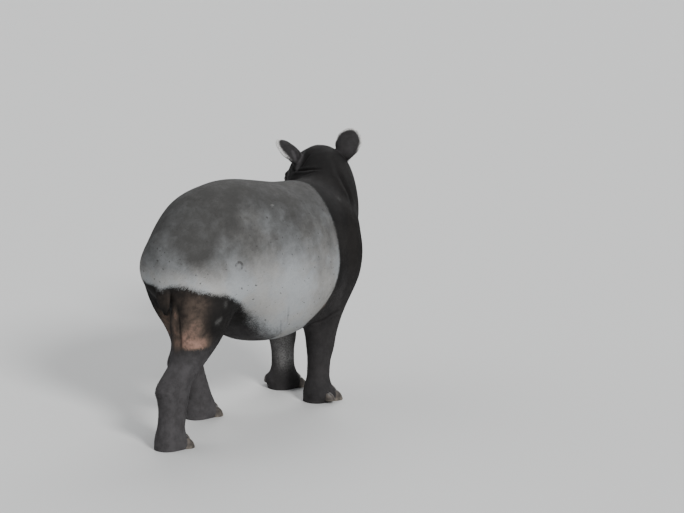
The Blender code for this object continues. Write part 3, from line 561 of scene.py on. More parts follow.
# Colours of the coat, the skin and the marks, the eyes, the hooves and the stage.
COOL_GREY = (0.330, 0.343, 0.352)
WARM_GREY = (0.345, 0.340, 0.328)
SMOKE_AND_SHADE_GREY = (0.054, 0.053, 0.051)
SPECK = (0.045, 0.043, 0.042)
BLACK = (0.0105, 0.0099, 0.0098)
BROWN_BLACK = (0.0185, 0.0170, 0.0162)
WORN_BLACK = (0.028, 0.026, 0.025)
DUST = (0.072, 0.068, 0.070)
THIN_COAT = (0.082, 0.062, 0.050)
BARE_SKIN = (0.335, 0.200, 0.155)
WHITE = (0.640, 0.630, 0.610)
# Painted shade in the folds.
CREASE_SHADE = (0.007, 0.006, 0.006)
PUPIL = (0.003, 0.003, 0.003)
IRIS = ((0.016, 0.009, 0.005), (0.050, 0.027, 0.014))
IRIS_RIM = (0.007, 0.006, 0.005)
EYE_EDGE = (0.030, 0.020, 0.017)
HORN = ((0.030, 0.025, 0.022), (0.085, 0.070, 0.058))
PALE_GRAIN = (0.125, 0.106, 0.088)
DRY_EARTH = (0.185, 0.160, 0.130)
FLOOR = (0.62, 0.62, 0.61)
AIR = (0.93, 0.96, 1.0, 1.0)
SHEEN = {"Sheen Weight": 0.010, "Sheen Roughness": 0.50, "Specular IOR Level": 0.06}


# Helpers

def unit(v):
    """A vector of length one."""
    v = np.asarray(v, float)
    return v / np.linalg.norm(v, axis=-1, keepdims=True)


def from_row(points):
    """Row coordinates as body coordinates."""
    points = np.asarray(points, float)
    return np.stack((RUMP_Y - points[..., 1], points[..., 0] - MIDLINE_X, points[..., 2]), axis=-1)


def row_way(v):
    """A direction of the body's frame in the row's."""
    v = np.asarray(v, float)
    return np.stack((v[..., 1], -v[..., 0], v[..., 2]), axis=-1)


def from_row_way(v):
    """A direction of the row's frame in the body's."""
    return np.stack((-v[..., 1], v[..., 0], v[..., 2]), axis=-1)


def turn_to(obj, way):
    """Points an object's own z along a direction of the row's frame."""
    obj.rotation_mode = "QUATERNION"
    obj.rotation_quaternion = Vector(way).to_track_quat("Z", "Y")


def ease(x, low, high):
    """0 below low, 1 above high, and a smooth step between."""
    t = np.clip((np.asarray(x, float) - low) / (high - low), 0, 1)
    return t * t * (3 - 2 * t)


def bell(x, reach):
    """1 at nought, fading out smoothly to both sides."""
    return np.exp(-((x / reach) ** 2))


def apart(points, place):
    """How far each point lies from a place."""
    return np.linalg.norm(points - np.array(place), axis=1)


def curve(table, x):
    """The second column of a table where its first is x."""
    at, value = np.array(table).T
    return np.interp(x, at, value)


def head_frame(points):
    """Body coordinates as the head's h, side and height."""
    return (points - np.array(HEAD_AT)) @ np.array(HEAD_AXES).T


def eye_at(side):
    """The middle of the eyeball on one side."""
    return in_head(EYE_AT[0], side * EYE_AT[1], EYE_AT[2])


def eye_way(side):
    """The way that the eye on one side looks."""
    return directions(HEAD_YAW + side * EYE_TURN, 0)[0]


def head_block(points):
    """Which points lie between the sides, the top and the bottom of the head's own block."""
    _, side, height = head_frame(points).T
    return (np.abs(side) < HEAD_BLOCK[0]) & (np.abs(height) < HEAD_BLOCK[1])


SNOUT_TIP = in_head(PROBOSCIS[-1][0], 0, PROBOSCIS[-1][1])


# Camera

turn, drop = math.radians(VIEW_TURN), math.radians(VIEW_DROP)
SIGHT = np.array((math.cos(turn) * math.cos(drop), math.sin(turn) * math.cos(drop), -math.sin(drop)))
SIDE = np.array((math.sin(turn), -math.cos(turn), 0.0))
RISE = np.cross(SIDE, SIGHT)
FOCAL = VIEW_SCALE * VIEW_AWAY
EYE = (
    SIDE * (FRAME_PX[0] / 2 - ORIGIN_PX[0]) / VIEW_SCALE
    - RISE * (FRAME_PX[1] / 2 - ORIGIN_PX[1]) / VIEW_SCALE
    - SIGHT * VIEW_AWAY
)


def make_camera():
    """The camera at the photograph's angle and framing."""
    lens = bpy.data.cameras.new("camera")
    camera = link("camera", lens)
    bpy.context.scene.camera = camera
    camera.location = to_row(EYE)
    axes = np.stack([row_way(v) for v in (SIDE, RISE, -SIGHT)], axis=1)
    camera.rotation_mode = "QUATERNION"
    camera.rotation_quaternion = Matrix(axes.tolist()).to_quaternion()
    lens.sensor_width = 36
    lens.lens = 36 * FOCAL / FRAME_PX[0]
    lens.clip_end = 200


def seen(tree, pixels):
    """The points of a surface that show at some pixels, in row coordinates."""
    found = []
    for x, y in pixels:
        way = SIGHT * FOCAL + SIDE * (x - FRAME_PX[0] / 2) - RISE * (y - FRAME_PX[1] / 2)
        hit = tree.ray_cast(Vector(to_row(EYE)), Vector(row_way(unit(way))), 60.0)[0]
        if hit is not None:
            found.append(np.array(hit))
    return found


def tree_of(obj):
    """An object's surface as it stands, for looking up points."""
    return BVHTree.FromObject(obj, bpy.context.evaluated_depsgraph_get())


# Objects and meshes

def link(name, data):
    """A new object in the scene."""
    obj = bpy.data.objects.new(name, data)
    bpy.context.scene.collection.objects.link(obj)
    return obj


def object_of(name, mesh):
    """An object from a bmesh, with its faces pointing out."""
    bmesh.ops.recalc_face_normals(mesh, faces=mesh.faces)
    if mesh.calc_volume(signed=True) < 0:
        bmesh.ops.reverse_faces(mesh, faces=mesh.faces)
    data = bpy.data.meshes.new(name)
    mesh.to_mesh(data)
    mesh.free()
    return link(name, data)


def apply(obj):
    """Applies the object's modifiers."""
    graph = bpy.context.evaluated_depsgraph_get()
    made = bpy.data.meshes.new_from_object(obj.evaluated_get(graph))
    old = obj.data
    obj.modifiers.clear()
    obj.data = made
    made.name = obj.name
    bpy.data.meshes.remove(old)


def put_points(obj, points):
    """Moves every vertex of an object."""
    obj.data.vertices.foreach_set("co", np.asarray(points, np.float32).ravel())
    obj.data.update()


def edges_of(obj):
    """The vertex pairs of an object's edges."""
    return numbers_of(obj.data.edges, "vertices", 2, np.int32)


def relax(points, edges, rounds, share):
    """Evens out points along their edges, each by its own share."""
    count = np.bincount(edges.ravel(), minlength=len(points)).astype(float)
    count[count == 0] = 1
    a, b = edges.T
    for _ in range(rounds):
        total = np.zeros_like(points)
        for axis in range(3):
            total[:, axis] = np.bincount(a, points[b, axis], len(points))
            total[:, axis] += np.bincount(b, points[a, axis], len(points))
        points = points + (total / count[:, None] - points) * share[:, None] * 0.5
    return points


def refine(obj, chosen):
    """Splits every face that has all its vertices chosen into four."""
    mesh = bmesh.new()
    mesh.from_mesh(obj.data)
    mesh.verts.ensure_lookup_table()
    pick = set(np.flatnonzero(chosen).tolist())
    edges = [e for e in mesh.edges if e.verts[0].index in pick and e.verts[1].index in pick]
    bmesh.ops.subdivide_edges(mesh, edges=edges, cuts=1, use_grid_fill=True, smooth=0.0)
    bmesh.ops.triangulate(mesh, faces=[f for f in mesh.faces if len(f.verts) > 4])
    mesh.to_mesh(obj.data)
    mesh.free()


def near_line(points, line, reach):
    """Distance from each point to a line of points, and how far along it, 0 to 1."""
    line = np.asarray(line, float)
    best, along = np.full(len(points), 9.0), np.zeros(len(points))
    close = np.flatnonzero(((points > line.min(0) - reach) & (points < line.max(0) + reach)).all(1))
    if not len(close):
        return best, along
    part, near, where = points[close], best[close], along[close]
    for i, (a, b) in enumerate(zip(line[:-1], line[1:])):
        run = b - a
        t = np.clip(((part - a) @ run) / max(run @ run, 1e-12), 0, 1)
        away = np.linalg.norm(part - a - t[:, None] * run, axis=1)
        better = away < near
        near = np.where(better, away, near)
        where = np.where(better, (i + t) / (len(line) - 1), where)
    best[close], along[close] = near, where
    return best, along


def flesh_object():
    """The whole animal without ears, tail, eyes and hooves, as the solids have it but finer."""
    mesh = bmesh.new()
    for rings in (trunk_rings(), neck_rings(), skull_rings(), proboscis_rings()):
        add_loft(mesh, rings)
    for leg in LEGS:
        add_loft(mesh, leg_rings(leg))
        add_toes(mesh, leg)
    for h, side, height, *radii in HEAD_SWELLS:
        for way in {1, -1} if side else {1}:
            add_ball(mesh, in_head(h, way * side, height), radii, HEAD_AXES)
    centre, yaw, radii = NECK_ROLL
    add_ball(mesh, centre, radii, directions(yaw, 0))
    flesh = object_of("skin", mesh)
    fuse = flesh.modifiers.new("Fuse", "REMESH")
    fuse.mode = "VOXEL"
    fuse.voxel_size = SKIN_VOXEL
    apply(flesh)
    points, edges = points_of(flesh), edges_of(flesh)
    finer = (SOLID_VOXEL / SKIN_VOXEL) ** 2
    own, over_all = (round(rounds * finer) for rounds in SMOOTH_ROUNDS)
    points = relax(points, edges, own, smoothing_share(points))
    points = relax(points, edges, over_all, np.ones(len(points)))
    put_points(flesh, points)
    # The soles are cut level just over the floor.
    mesh = bmesh.new()
    mesh.from_mesh(flesh.data)
    cut = bmesh.ops.bisect_plane(
        mesh, geom=[*mesh.verts, *mesh.edges, *mesh.faces], plane_co=(0, 0, 0.001), plane_no=(0, 0, -1),
        clear_outer=True,
    )
    rim = [e for e in cut["geom_cut"] if isinstance(e, bmesh.types.BMEdge)]
    bmesh.ops.triangle_fill(mesh, edges=rim, use_beauty=True)
    mesh.to_mesh(flesh.data)
    mesh.free()
    points = points_of(flesh)
    depth = FOOT_DEPTH + (COAT_DEPTH - FOOT_DEPTH) * ease(points[:, 2], 0.08, 0.25)
    inward = normals_of(flesh) * depth[:, None]
    inward[points[:, 2] < 0.004] = 0
    put_points(flesh, points - inward)
    return flesh


# Ears and tail

def ear_axes(name):
    """An ear's root, its length, its width and the way its cup opens, in body coordinates."""
    place, length_way, open_way = EARS[name]
    axes = np.array(HEAD_AXES)
    tall = unit(np.array(length_way) @ axes)
    facing = np.array(open_way) @ axes
    facing = unit(facing - tall * (facing @ tall))
    return in_head(*place), tall, np.cross(tall, facing), facing


def on_ear(body, name):
    """How surely each point lies on an ear, and how far along and across it, in metres."""
    root, tall, across, _ = ear_axes(name)
    rel = body - root
    up = rel @ tall
    off = np.linalg.norm(rel - up[:, None] * tall, axis=1)
    return ease(up, 0.005, 0.030) * (1 - ease(off, 0.055, 0.065)) * (up < 0.16), up, rel @ across


def ears_object():
    """Both ears with finer and gently waved rims, and the tail, as closed bodies."""
    mesh = bmesh.new()
    rims = []
    for name in EARS:
        root, tall, across, facing = ear_axes(name)
        rings = []
        for share, half, deep, hollow in smooth_rows(EAR_SHAPE, 44):
            centre = root + tall * share * EAR_LENGTH
            wave = EAR_WAVE[0] * math.sin(share * EAR_WAVE[1]) * min(max(share, 0), 1)
            rings.append(ear_section(centre, across, facing, half + wave - EAR_COAT, deep, hollow))
        rings = np.array(rings)
        add_loft(mesh, rings)
        rims.append(np.concatenate((rings[:, 19], rings[::-1, -1])))
    rings = []
    path = along_index(TAIL, 40)
    for i, (f, l, z, half, deep) in enumerate(path):
        run = unit(path[min(i + 1, len(path) - 1), :3] - path[max(i - 1, 0), :3])
        half, deep = half - TAIL_COAT, deep - TAIL_COAT
        rings.append(section((f, l, z), LEFT, np.cross(run, LEFT), half, deep, deep, 2.0, 28))
    add_loft(mesh, rings)
    return object_of("ears", mesh), rims


def join(skin, other):
    """Joins the ears and the tail to the skin, and softens the line where they meet."""
    trees = tree_of(other), tree_of(skin)
    union = skin.modifiers.new("Join", "BOOLEAN")
    union.operation = "UNION"
    union.solver = "EXACT"
    union.object = other
    apply(skin)
    bpy.data.objects.remove(other)
    points = points_of(skin)
    share = np.zeros(len(points))
    for i, p in enumerate(points):
        away = [tree.find_nearest(Vector(p), SEAM[1])[3] for tree in trees]
        if None not in away:
            share[i] = 1 - ease(max(away), *SEAM)
    put_points(skin, relax(points, edges_of(skin), 10, share))


# Markings

def saddle_edge(points):
    """How far inside the pale saddle each point lies, in metres, from its front and lower edges."""
    f, l, z = points.T
    hang = 0.010 * ease(l, -0.09, -0.03) * (1 - ease(f, 0.04, 0.10))
    above = (z - curve(SADDLE_LOW, f) + hang) * 0.8
    above *= 1 - 0.65 * ease(f, 0.28, 0.42) * (1 - ease(f, 0.62, 0.70))
    return np.minimum(curve(SADDLE_FRONT, z) - f, above)


def smoke_and_painted_light_of(body, edge):
    """How dark the saddle's grey is: smoky fur with painted shade on the back, where it turns away from the
    light, and palest along its lower edge.
    """
    f, l, z = body.T
    smoke_and_painted_light = curve(SMOKE_AND_SHADE, z)
    smoke_and_painted_light += 0.22 * ease(f, 0.55, 0.72) * (1 - ease(z, 0.60, 0.80))
    smoke_and_painted_light -= 0.30 * bell(np.clip(edge, 0, 1), 0.045) * (1 - ease(f, 0.20, 0.40)) * (z < 0.8)
    one_side = np.stack((f, np.abs(l), z), axis=1)
    # Smudges, and a painted highlight along the rump's top.
    for line, reach, amount in SMUDGES_AND_HIGHLIGHT:
        mark = bell(near_line(one_side, line, reach * 3)[0], reach)
        smoke_and_painted_light += amount * mark * (1 - (1 - SMUDGE_AND_HIGHLIGHT_LEFT) * ease(l, -0.04, 0.04))
    return np.clip(smoke_and_painted_light, 0, 0.92)


# Detail of the skin

def refine_detail(skin):
    """Splits the faces where the lids, lips, nostrils, folds and ears need it."""
    for eye, lip, nose in DETAIL:
        body = from_row(points_of(skin))
        h, side, height = head_frame(body).T
        side = np.abs(side)
        chosen = (apart(body, eye_at(1)) < eye) | (apart(body, eye_at(-1)) < eye)
        chosen |= (np.abs(height - curve(MOUTH, h)) < lip) & (h > 0.225) & (h < 0.395) & (side < 0.12)
        chosen |= apart(body, SNOUT_TIP) < nose
        if eye == DETAIL[0][0]:
            chosen |= (h > 0.10) & (h < 0.50) & (side < 0.14) & (np.abs(height) < 0.22)
            chosen |= apart(body, NAPE) < 0.19
        refine(skin, chosen)


def shape_lids(body):
    """Opens an almond between two lids over each eyeball."""
    rim, inner = EYE_RADIUS + LID_RIM, EYE_RADIUS - LID_DEPTH
    wide, above, below = LID_ANGLES
    for side in (1, -1):
        centre = eye_at(side)
        out = eye_way(side)
        up = unit(HEAD_AXES[2] - out * (HEAD_AXES[2] @ out))
        along = np.cross(up, out)
        rel = body - centre
        r = np.linalg.norm(rel, axis=1)
        near = np.flatnonzero((r < 0.045) & (rel @ out > 0.1 * r))
        d = rel[near] / r[near, None]
        x = np.arctan2(d @ along, d @ out)
        y = np.arctan2(d @ up, d @ out) - 0.10 * side * x
        # q is 1 along the edge of the opening, whose upper lid is the more arched.
        high = np.where(y > 0, above, below)
        q = (np.abs(x / wide) ** LID_POWER + np.abs(y / high) ** LID_POWER) ** (1 / LID_POWER)
        lid = inner + (rim - inner) * ease(q, 0.90, 1.06)
        crease = -0.0012 * bell(q - 1.75, 0.13) * ease(y, -0.1, 0.2)
        crease += 0.0008 * bell(q - 1.35, 0.22)
        keep = ease(q, 1.15, 2.3)
        target = lid * (1 - keep) + np.maximum(r[near], lid) * keep + crease
        body[near] = centre + d * target[:, None]
    return body


def shape_forms(body, normals):
    """Raises and lowers the skin over low forms of the neck and the face."""
    rise = np.zeros(len(body))
    one_side = head_frame(body)
    one_side[:, 1] = np.abs(one_side[:, 1])
    for points, forms in ((body, BODY_FORMS), (one_side, HEAD_FORMS)):
        for middle, reach, high in forms:
            rise += high * bell(apart(points, middle), reach)
    return body + normals * rise[:, None]


def shape_mouth(body, normals):
    """Presses the line of the mouth in, with a lip above and a lip below."""
    h, side, height = head_frame(body).T
    off = height - curve(smooth_rows(MOUTH, 40), h)
    inside = ease(h, 0.238, 0.256) * (1 - ease(h, 0.372, 0.392)) * (np.abs(side) < 0.12)
    groove = -GROOVE[0] * bell(off, GROOVE[1])
    lips = sum(high * bell(off - above, LIP_WIDTH) for high, above in LIPS)
    return body + normals * ((groove + lips) * inside)[:, None]


def shape_nose(body, normals):
    """Opens two nostrils in the end of the proboscis and rings it with fine wrinkles."""
    forward, left, up = HEAD_AXES
    h, height, droop = PROBOSCIS[-1][:3]
    lean = math.radians(droop)
    ahead = math.cos(lean) * forward - math.sin(lean) * up
    square = math.cos(lean) * up + math.sin(lean) * forward
    for side in (1, -1):
        rel = body - (in_head(h, side * NOSTRIL_SIDE, height) + NOSTRIL_RISE * square)
        a, b, c = rel @ left * side, rel @ square, rel @ ahead
        b = b - 0.35 * (a - 0.002)
        ring = np.sqrt((a / NOSTRIL_RADII[0]) ** 2 + (b / NOSTRIL_RADII[1]) ** 2)
        here = (c > -0.020) & (ring < 4)
        body = body - ahead * (NOSTRIL_DEPTH * (1 - ease(ring, 0.55, 1.12)) * here)[:, None]
        body = body + ahead * (NOSTRIL_RIM * bell(ring - 1.35, 0.30) * here)[:, None]
    h, _, height = head_frame(body).T
    run = h + np.clip(-0.03 - height, 0, 1) * 0.9
    high, short, long = WRINKLES
    wave = np.sin(run * 2 * math.pi / short + 2.2 * np.sin(height * 60)) * np.sin(run * 2 * math.pi / long)
    amount = high * ease(h, 0.25, 0.33) * ease(height, -0.125, -0.07)
    return body + normals * (wave * amount)[:, None]


def press_folds(skin):
    """Presses folds into the skin along lines of pixels, and gives back how dark the shade painted into them
    is.
    """
    tree = tree_of(skin)
    points, normals = points_of(skin), normals_of(skin)
    moved = points.copy()
    dark = np.zeros(len(points))
    for (depth, width, lip, shade), pixels in FOLDS:
        line = seen(tree, along_index(pixels, (len(pixels) - 1) * 4 + 1))
        away, along = near_line(points, line, width * 4)
        fade = np.sqrt(np.clip(np.sin(along * math.pi), 0, 1))
        press = bell(away, width)
        swell = bell(away - width * 2, width) * lip
        moved = moved + normals * (depth * fade * (swell - press))[:, None]
        dark = np.maximum(dark, press * fade * shade)
    put_points(skin, moved)
    return dark


# Coat

def lie_of(body):
    """The way that the coat lies at each point, in body coordinates."""
    f, _, z = body.T
    tail = near_line(body, np.array(TAIL)[:, :3], 0.06)[0]
    on_head = ease(head_frame(body)[:, 0], -0.03, 0.07) * head_block(body)
    parts = (
        (1 - ease(z, 0.40, 0.66), (-0.25, 0.0, -1.0)),
        (ease(f, 0.92, 1.06) * ease(z, 0.50, 0.64), (-0.80, -0.30, -0.42)),
        (on_head, -HEAD_AXES[0] - 0.15 * HEAD_AXES[2]),
        *((on_ear(body, name)[0], ear_axes(name)[1]) for name in EARS),
        ((1 - ease(tail, 0.030, 0.045)) * (f < 0.05), (-0.15, 0.0, -1.0)),
    )
    ways = np.tile(np.array((-1.0, 0.0, -0.30)), (len(body), 1))
    for share, way in parts:
        ways = ways * (1 - share)[:, None] + np.array(way) * share[:, None]
    return ways


def charts(body, normals):
    """A place for each point on an unwrap of the skin: each form has a strip that goes round it."""
    f, l, z = body.T
    h, side, height = head_frame(body).T
    place = np.zeros((len(body), 2))

    def lay(mask, along, low, high, across, up, row):
        turn = np.arctan2(across, up) / (2 * math.pi) + 0.5
        place[mask, 0] = 0.02 + 0.96 * np.clip((along[mask] - low) / (high - low), 0, 1)
        place[mask, 1] = (row + 0.04 + 0.92 * turn[mask]) / STRIPS

    legs = (z < 0.42) & (f < 1.12)
    on_head = (h > -0.03) & head_block(body) & (z > 0.5)
    lay(~legs & ~on_head, f, -0.05, 1.3, l, z - 0.66, 0)
    lay(on_head, h, -0.05, 0.48, side, height + 0.03, 1)
    steps = np.linspace(0, 0.5, 11)
    for row, leg in enumerate(LEGS, start=2):
        middle = sole_middle(leg)
        mine = legs & (l * LEGS[leg][1] > 0) & ((f < 0.62) == leg.startswith("hind"))
        shift = np.interp(z, steps, [leg_offset(leg, step)[0] for step in steps])
        base = middle[0] - leg_offset(leg, 0.0)[0]
        lay(mine, z, 0.0, 0.45, f - base - shift, l - middle[1], row)
    for half, name in enumerate(EARS):
        here, up, across = on_ear(body, name)
        mine = here > 0.1
        front = (normals @ ear_axes(name)[3] > 0) * 0.25
        place[mine, 0] = half * 0.5 + 0.01 + front[mine] + 0.22 * np.clip((across[mine] + 0.06) / 0.12, 0, 1)
        place[mine, 1] = (STRIPS - 1 + 0.04 + 0.92 * np.clip(up[mine] / 0.16, 0, 1)) / STRIPS
    return place


def attribute_of(mesh, name):
    """One number for each vertex, as a column."""
    return numbers_of(mesh.attributes[name].data, "value", 1)


def on_ears(body):
    """How surely each point lies on either ear."""
    return np.maximum(*(on_ear(body, name)[0] for name in EARS))


def make_coat(skin, name, weight, mat):
    """One joined mesh of thin overlapping tufts that lie along the skin, rooted just under it."""
    count, seed, long, wide, lift = COATS[name]
    rng = np.random.default_rng(seed)
    skin.data.calc_loop_triangles()
    tris = numbers_of(skin.data.loop_triangles, "vertices", 3, np.int32)
    points, normals = points_of(skin), normals_of(skin)
    corner = points[tris]
    area = np.linalg.norm(np.cross(corner[:, 1] - corner[:, 0], corner[:, 2] - corner[:, 0]), axis=1) / 2
    share = area * weight[tris].mean(1)
    pick = np.searchsorted(np.cumsum(share), rng.random(count) * share.sum())
    pick = np.clip(pick, 0, len(tris) - 1)
    a, b = rng.random(count), rng.random(count)
    over = a + b > 1
    a[over], b[over] = 1 - a[over], 1 - b[over]
    bary = np.stack((1 - a - b, a, b), axis=1)

    def mix(values):
        return (values[tris[pick]] * bary[..., None]).sum(1)

    root, normal = mix(points), unit(mix(normals))
    body = from_row(root)
    lie = row_way(lie_of(body))
    lie = unit(lie - normal * (lie * normal).sum(1, keepdims=True) + 1e-6)
    angle = rng.normal(0, TUFT_SPREAD, count)[:, None]
    lie = unit(lie * np.cos(angle) + np.cross(normal, lie) * np.sin(angle))
    side = np.cross(normal, lie)
    head = head_frame(body)
    face = ease(head[:, 0], 0.02, 0.16) * (apart(head, (0.2, 0, -0.03)) < 0.30)
    feet = 1 - ease(body[:, 2], 0.05, 0.22)
    size = (1 - 0.50 * np.maximum(face, feet) - 0.50 * on_ears(body)) * rng.uniform(0.75, 1.2, count)
    high = (lift * rng.uniform(0.7, 1.3, count) * (1 - 0.35 * face))[:, None]
    ahead, across = lie * (long * size)[:, None], side * (wide * size)[:, None] / 2
    sunk = root - normal * TUFT_DEPTH
    verts = np.stack((
        sunk - across, sunk + across, root + ahead * 0.45 + normal * high, root + ahead + normal * TUFT_TIP,
    ), axis=1)
    verts[..., 2] = np.maximum(verts[..., 2], TUFT_FLOOR)
    form = np.array(((0, 3, 2), (1, 2, 3), (0, 2, 1), (1, 3, 0)))
    faces = (np.arange(count)[:, None, None] * 4 + form[None]).reshape(-1, 3).astype(np.int32)
    mesh = bpy.data.meshes.new(name)
    mesh.vertices.add(count * 4)
    mesh.vertices.foreach_set("co", verts.astype(np.float32).ravel())
    mesh.loops.add(faces.size)
    mesh.loops.foreach_set("vertex_index", faces.ravel())
    mesh.polygons.add(len(faces))
    mesh.polygons.foreach_set("loop_start", np.arange(0, faces.size, 3, dtype=np.int32))
    mesh.update(calc_edges=True)
    uv = mesh.uv_layers.new(name="OFBake")
    # Of the normals, the unwrap needs only which side of an ear each one is on.
    at = np.clip(charts(body, row_way(normal)), 0.002, 0.998)
    patch = np.array(((-0.4, -0.5), (0.4, -0.5), (0.0, 0.0), (0.0, 0.5))) * TUFT_PATCH
    where = (at[:, None, :] + patch[None]).reshape(-1, 2)
    uv.data.foreach_set("uv", where[faces.ravel()].astype(np.float32).ravel())
    for mark in MARKS:
        own = mix(attribute_of(skin.data, mark).astype(float))[:, 0]
        set_attribute(mesh, mark, np.repeat(own, 4))
    set_attribute(mesh, "lock", np.repeat(rng.random(count), 4))
    mesh.shade_smooth()
    mesh.normals_split_custom_set_from_vertices(np.repeat(normal, 4, axis=0).tolist())
    mesh.materials.append(mat)
    coat = link(name, mesh)
    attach(coat, "root")
    "black" if "saddle" not in name else "saddle"
    return coat


# Materials

class Nodes:
    """A short way to wire a material's nodes."""

    def __init__(self, name):
        self.mat = bpy.data.materials.new(name)
        self.mat.use_nodes = True
        self.tree = self.mat.node_tree
        self.shader = self.tree.nodes["Principled BSDF"]

    def give(self, node, values):
        """Links or sets a node's sockets, by name or number. Colours may come without alpha."""
        for key, value in values.items():
            socket = node.inputs[key]
            if isinstance(value, bpy.types.NodeSocket):
                self.tree.links.new(value, socket)
            elif value is not None:
                socket.default_value = (*value, 1.0) if socket.type == "RGBA" else value

    def add(self, kind, values, **settings):
        node = self.tree.nodes.new("ShaderNode" + kind)
        for key, value in settings.items():
            setattr(node, key, value)
        self.give(node, values)
        return node

    def math(self, operation, a, b=0.0):
        return self.add("Math", {0: a, 1: b}, operation=operation).outputs[0]

    def times(self, a, b):
        return self.math("MULTIPLY", a, b)

    def attribute(self, name):
        return self.add("Attribute", {}, attribute_name=name).outputs["Fac"]

    def place(self, scale=(1, 1, 1)):
        where = self.add("TexCoord", {}).outputs["Object"]
        return self.add("Mapping", {"Vector": where, "Scale": scale}).outputs[0]

    def split(self, vector):
        return self.add("SeparateXYZ", {0: vector}).outputs

    def noise(self, scale, detail, rough, squeeze=(1, 1, 1)):
        values = {"Vector": self.place(squeeze), "Scale": scale, "Detail": detail, "Roughness": rough}
        return self.add("TexNoise", values).outputs["Fac"]

    def vary(self, value, noise, amount):
        return self.math("ADD", value, self.times(self.math("SUBTRACT", noise, 0.5), amount))

    def step(self, value, low, high, to_low=0.0, to_high=1.0):
        values = dict(enumerate((value, low, high, to_low, to_high)))
        return self.add("MapRange", values, interpolation_type="SMOOTHSTEP").outputs[0]

    def blend(self, share, first, second):
        return self.add("Mix", {0: share, 6: first, 7: second}, data_type="RGBA").outputs[2]

    def bump(self, height, strength, distance, under=None):
        values = {"Height": height, "Strength": strength, "Distance": distance, "Normal": under}
        return self.add("Bump", values).outputs[0]

    def finish(self, colour, rough, fixed=(), normal=None):
        self.give(self.shader, {"Base Color": colour, "Roughness": rough, "Normal": normal, **dict(fixed)})
        return self.mat


def coat_colour(n):
    """The markings that the skin and its coat share, with painted shade and a painted highlight among them.
    """
    fine = n.noise(170, 4, 0.6)
    patch = n.noise(5.5, 5, 0.6)
    mottle = n.noise(34, 4, 0.65)
    cloud = n.noise(15, 4, 0.6)
    pale = n.step(n.vary(n.vary(n.attribute("saddle"), fine, 0.020), mottle, 0.014), -0.008, 0.013)
    smoke_and_painted_light = n.vary(n.vary(n.vary(n.attribute("smoke_and_painted_light"), patch, 0.36), cloud, 0.40), mottle, 0.22)
    tint = n.blend(n.step(patch, 0.40, 0.62), COOL_GREY, WARM_GREY)
    # The darker grey is smoky fur and painted shade on the back.
    grey = n.blend(n.step(smoke_and_painted_light, 0.0, 1.0), tint, SMOKE_AND_SHADE_GREY)
    bend = n.math("ADD", n.times(fine, 0.016), n.times(mottle, 0.030))
    bent = n.add("VectorMath", {0: n.place(), 1: bend}, operation="ADD")
    cells = n.add("TexVoronoi", {"Vector": bent.outputs[0], "Scale": 48})
    own = n.split(cells.outputs["Color"])[0]
    reach = n.math("SUBTRACT", cells.outputs["Distance"], n.times(own, 0.265))
    specks = n.step(reach, -0.080, -0.013, 0.78, 0.0)
    away = n.add("VectorMath", {0: n.place(), 1: tuple(to_row(RING))}, operation="DISTANCE")
    off = n.math("ABSOLUTE", n.math("SUBTRACT", away.outputs["Value"], RING_RADIUS))
    ring = n.times(n.step(off, 0.002, 0.006, 0.75, 0.0), n.step(mottle, 0.36, 0.56, 0.2, 1.0))
    grey = n.blend(n.math("MAXIMUM", specks, ring), grey, SPECK)
    black = n.blend(n.step(patch, 0.35, 0.70), BLACK, BROWN_BLACK)
    black = n.blend(n.step(mottle, 0.50, 0.78, 0.0, 0.25), black, WORN_BLACK)
    # Dust, and painted light on the left foreleg.
    black = n.blend(n.times(n.attribute("dust"), n.step(mottle, 0.30, 0.68, 0.62, 1.0)), black, DUST)
    bare = n.times(n.attribute("bare"), n.step(mottle, 0.25, 0.65, 0.60, 1.15))
    black = n.blend(n.step(bare, 0.0, 0.50), black, THIN_COAT)
    black = n.blend(n.step(bare, 0.35, 1.05), black, BARE_SKIN)
    # White ear rims and pale marks, among them a painted highlight and painted light.
    rim = n.times(n.attribute("rim"), n.step(fine, 0.36, 0.62, 0.45, 1.1))
    colour = n.blend(rim, n.blend(pale, black, grey), WHITE)
    # Painted shade in the folds.
    return n.blend(n.attribute("fold_shade"), colour, CREASE_SHADE)


def skin_material():
    """Short coat over skin, with the lie of the hair, pores and small wrinkles as bump."""
    n = Nodes("short_coat")
    normal = n.bump(n.noise(24, 3, 0.55, (1.0, 1.0, 2.6)), 0.12, 0.0015)
    normal = n.bump(n.noise(90, 5, 0.65), 0.12, 0.0005, normal)
    normal = n.bump(n.noise(300, 2, 0.6, (1.0, 0.22, 0.55)), 0.30, 0.0003, normal)
    return n.finish(coat_colour(n), n.step(n.noise(40, 3, 0.5), 0.3, 0.7, 0.62, 0.76), SHEEN, normal)


def coat_material():
    """The tufts: the skin's markings, each tuft a little lighter or darker."""
    n = Nodes("coat_tufts")
    shade = n.step(n.attribute("lock"), 0.0, 1.0, 0.91, 1.10)
    mixed = n.add("VectorMath", {0: coat_colour(n), "Scale": shade}, operation="SCALE")
    return n.finish(mixed.outputs[0], 0.70, SHEEN)


def eye_material():
    """A wet dark eye: black pupil, brown iris with fine rays, dark rim."""
    n = Nodes("eye")
    x, y, _ = n.split(n.add("TexCoord", {}).outputs["Object"])
    off = n.math("DIVIDE", n.math("SQRT", n.math("ADD", n.times(x, x), n.times(y, y))), EYE_RADIUS)
    pair = n.add("CombineXYZ", {0: n.times(n.math("ARCTAN2", y, x), 5.0), 1: off})
    rays = n.add("TexNoise", {"Vector": pair.outputs[0], "Scale": 6.0}, noise_dimensions="2D")
    colour = n.blend(n.step(off, 0.24, 0.30), PUPIL, n.blend(rays.outputs["Fac"], *IRIS))
    colour = n.blend(n.step(off, 0.56, 0.66), colour, IRIS_RIM)
    colour = n.blend(n.step(off, 0.84, 0.96), colour, EYE_EDGE)
    return n.finish(colour, 0.12, {"Coat Weight": 0.6, "Coat Roughness": 0.03, "Specular IOR Level": 0.25})


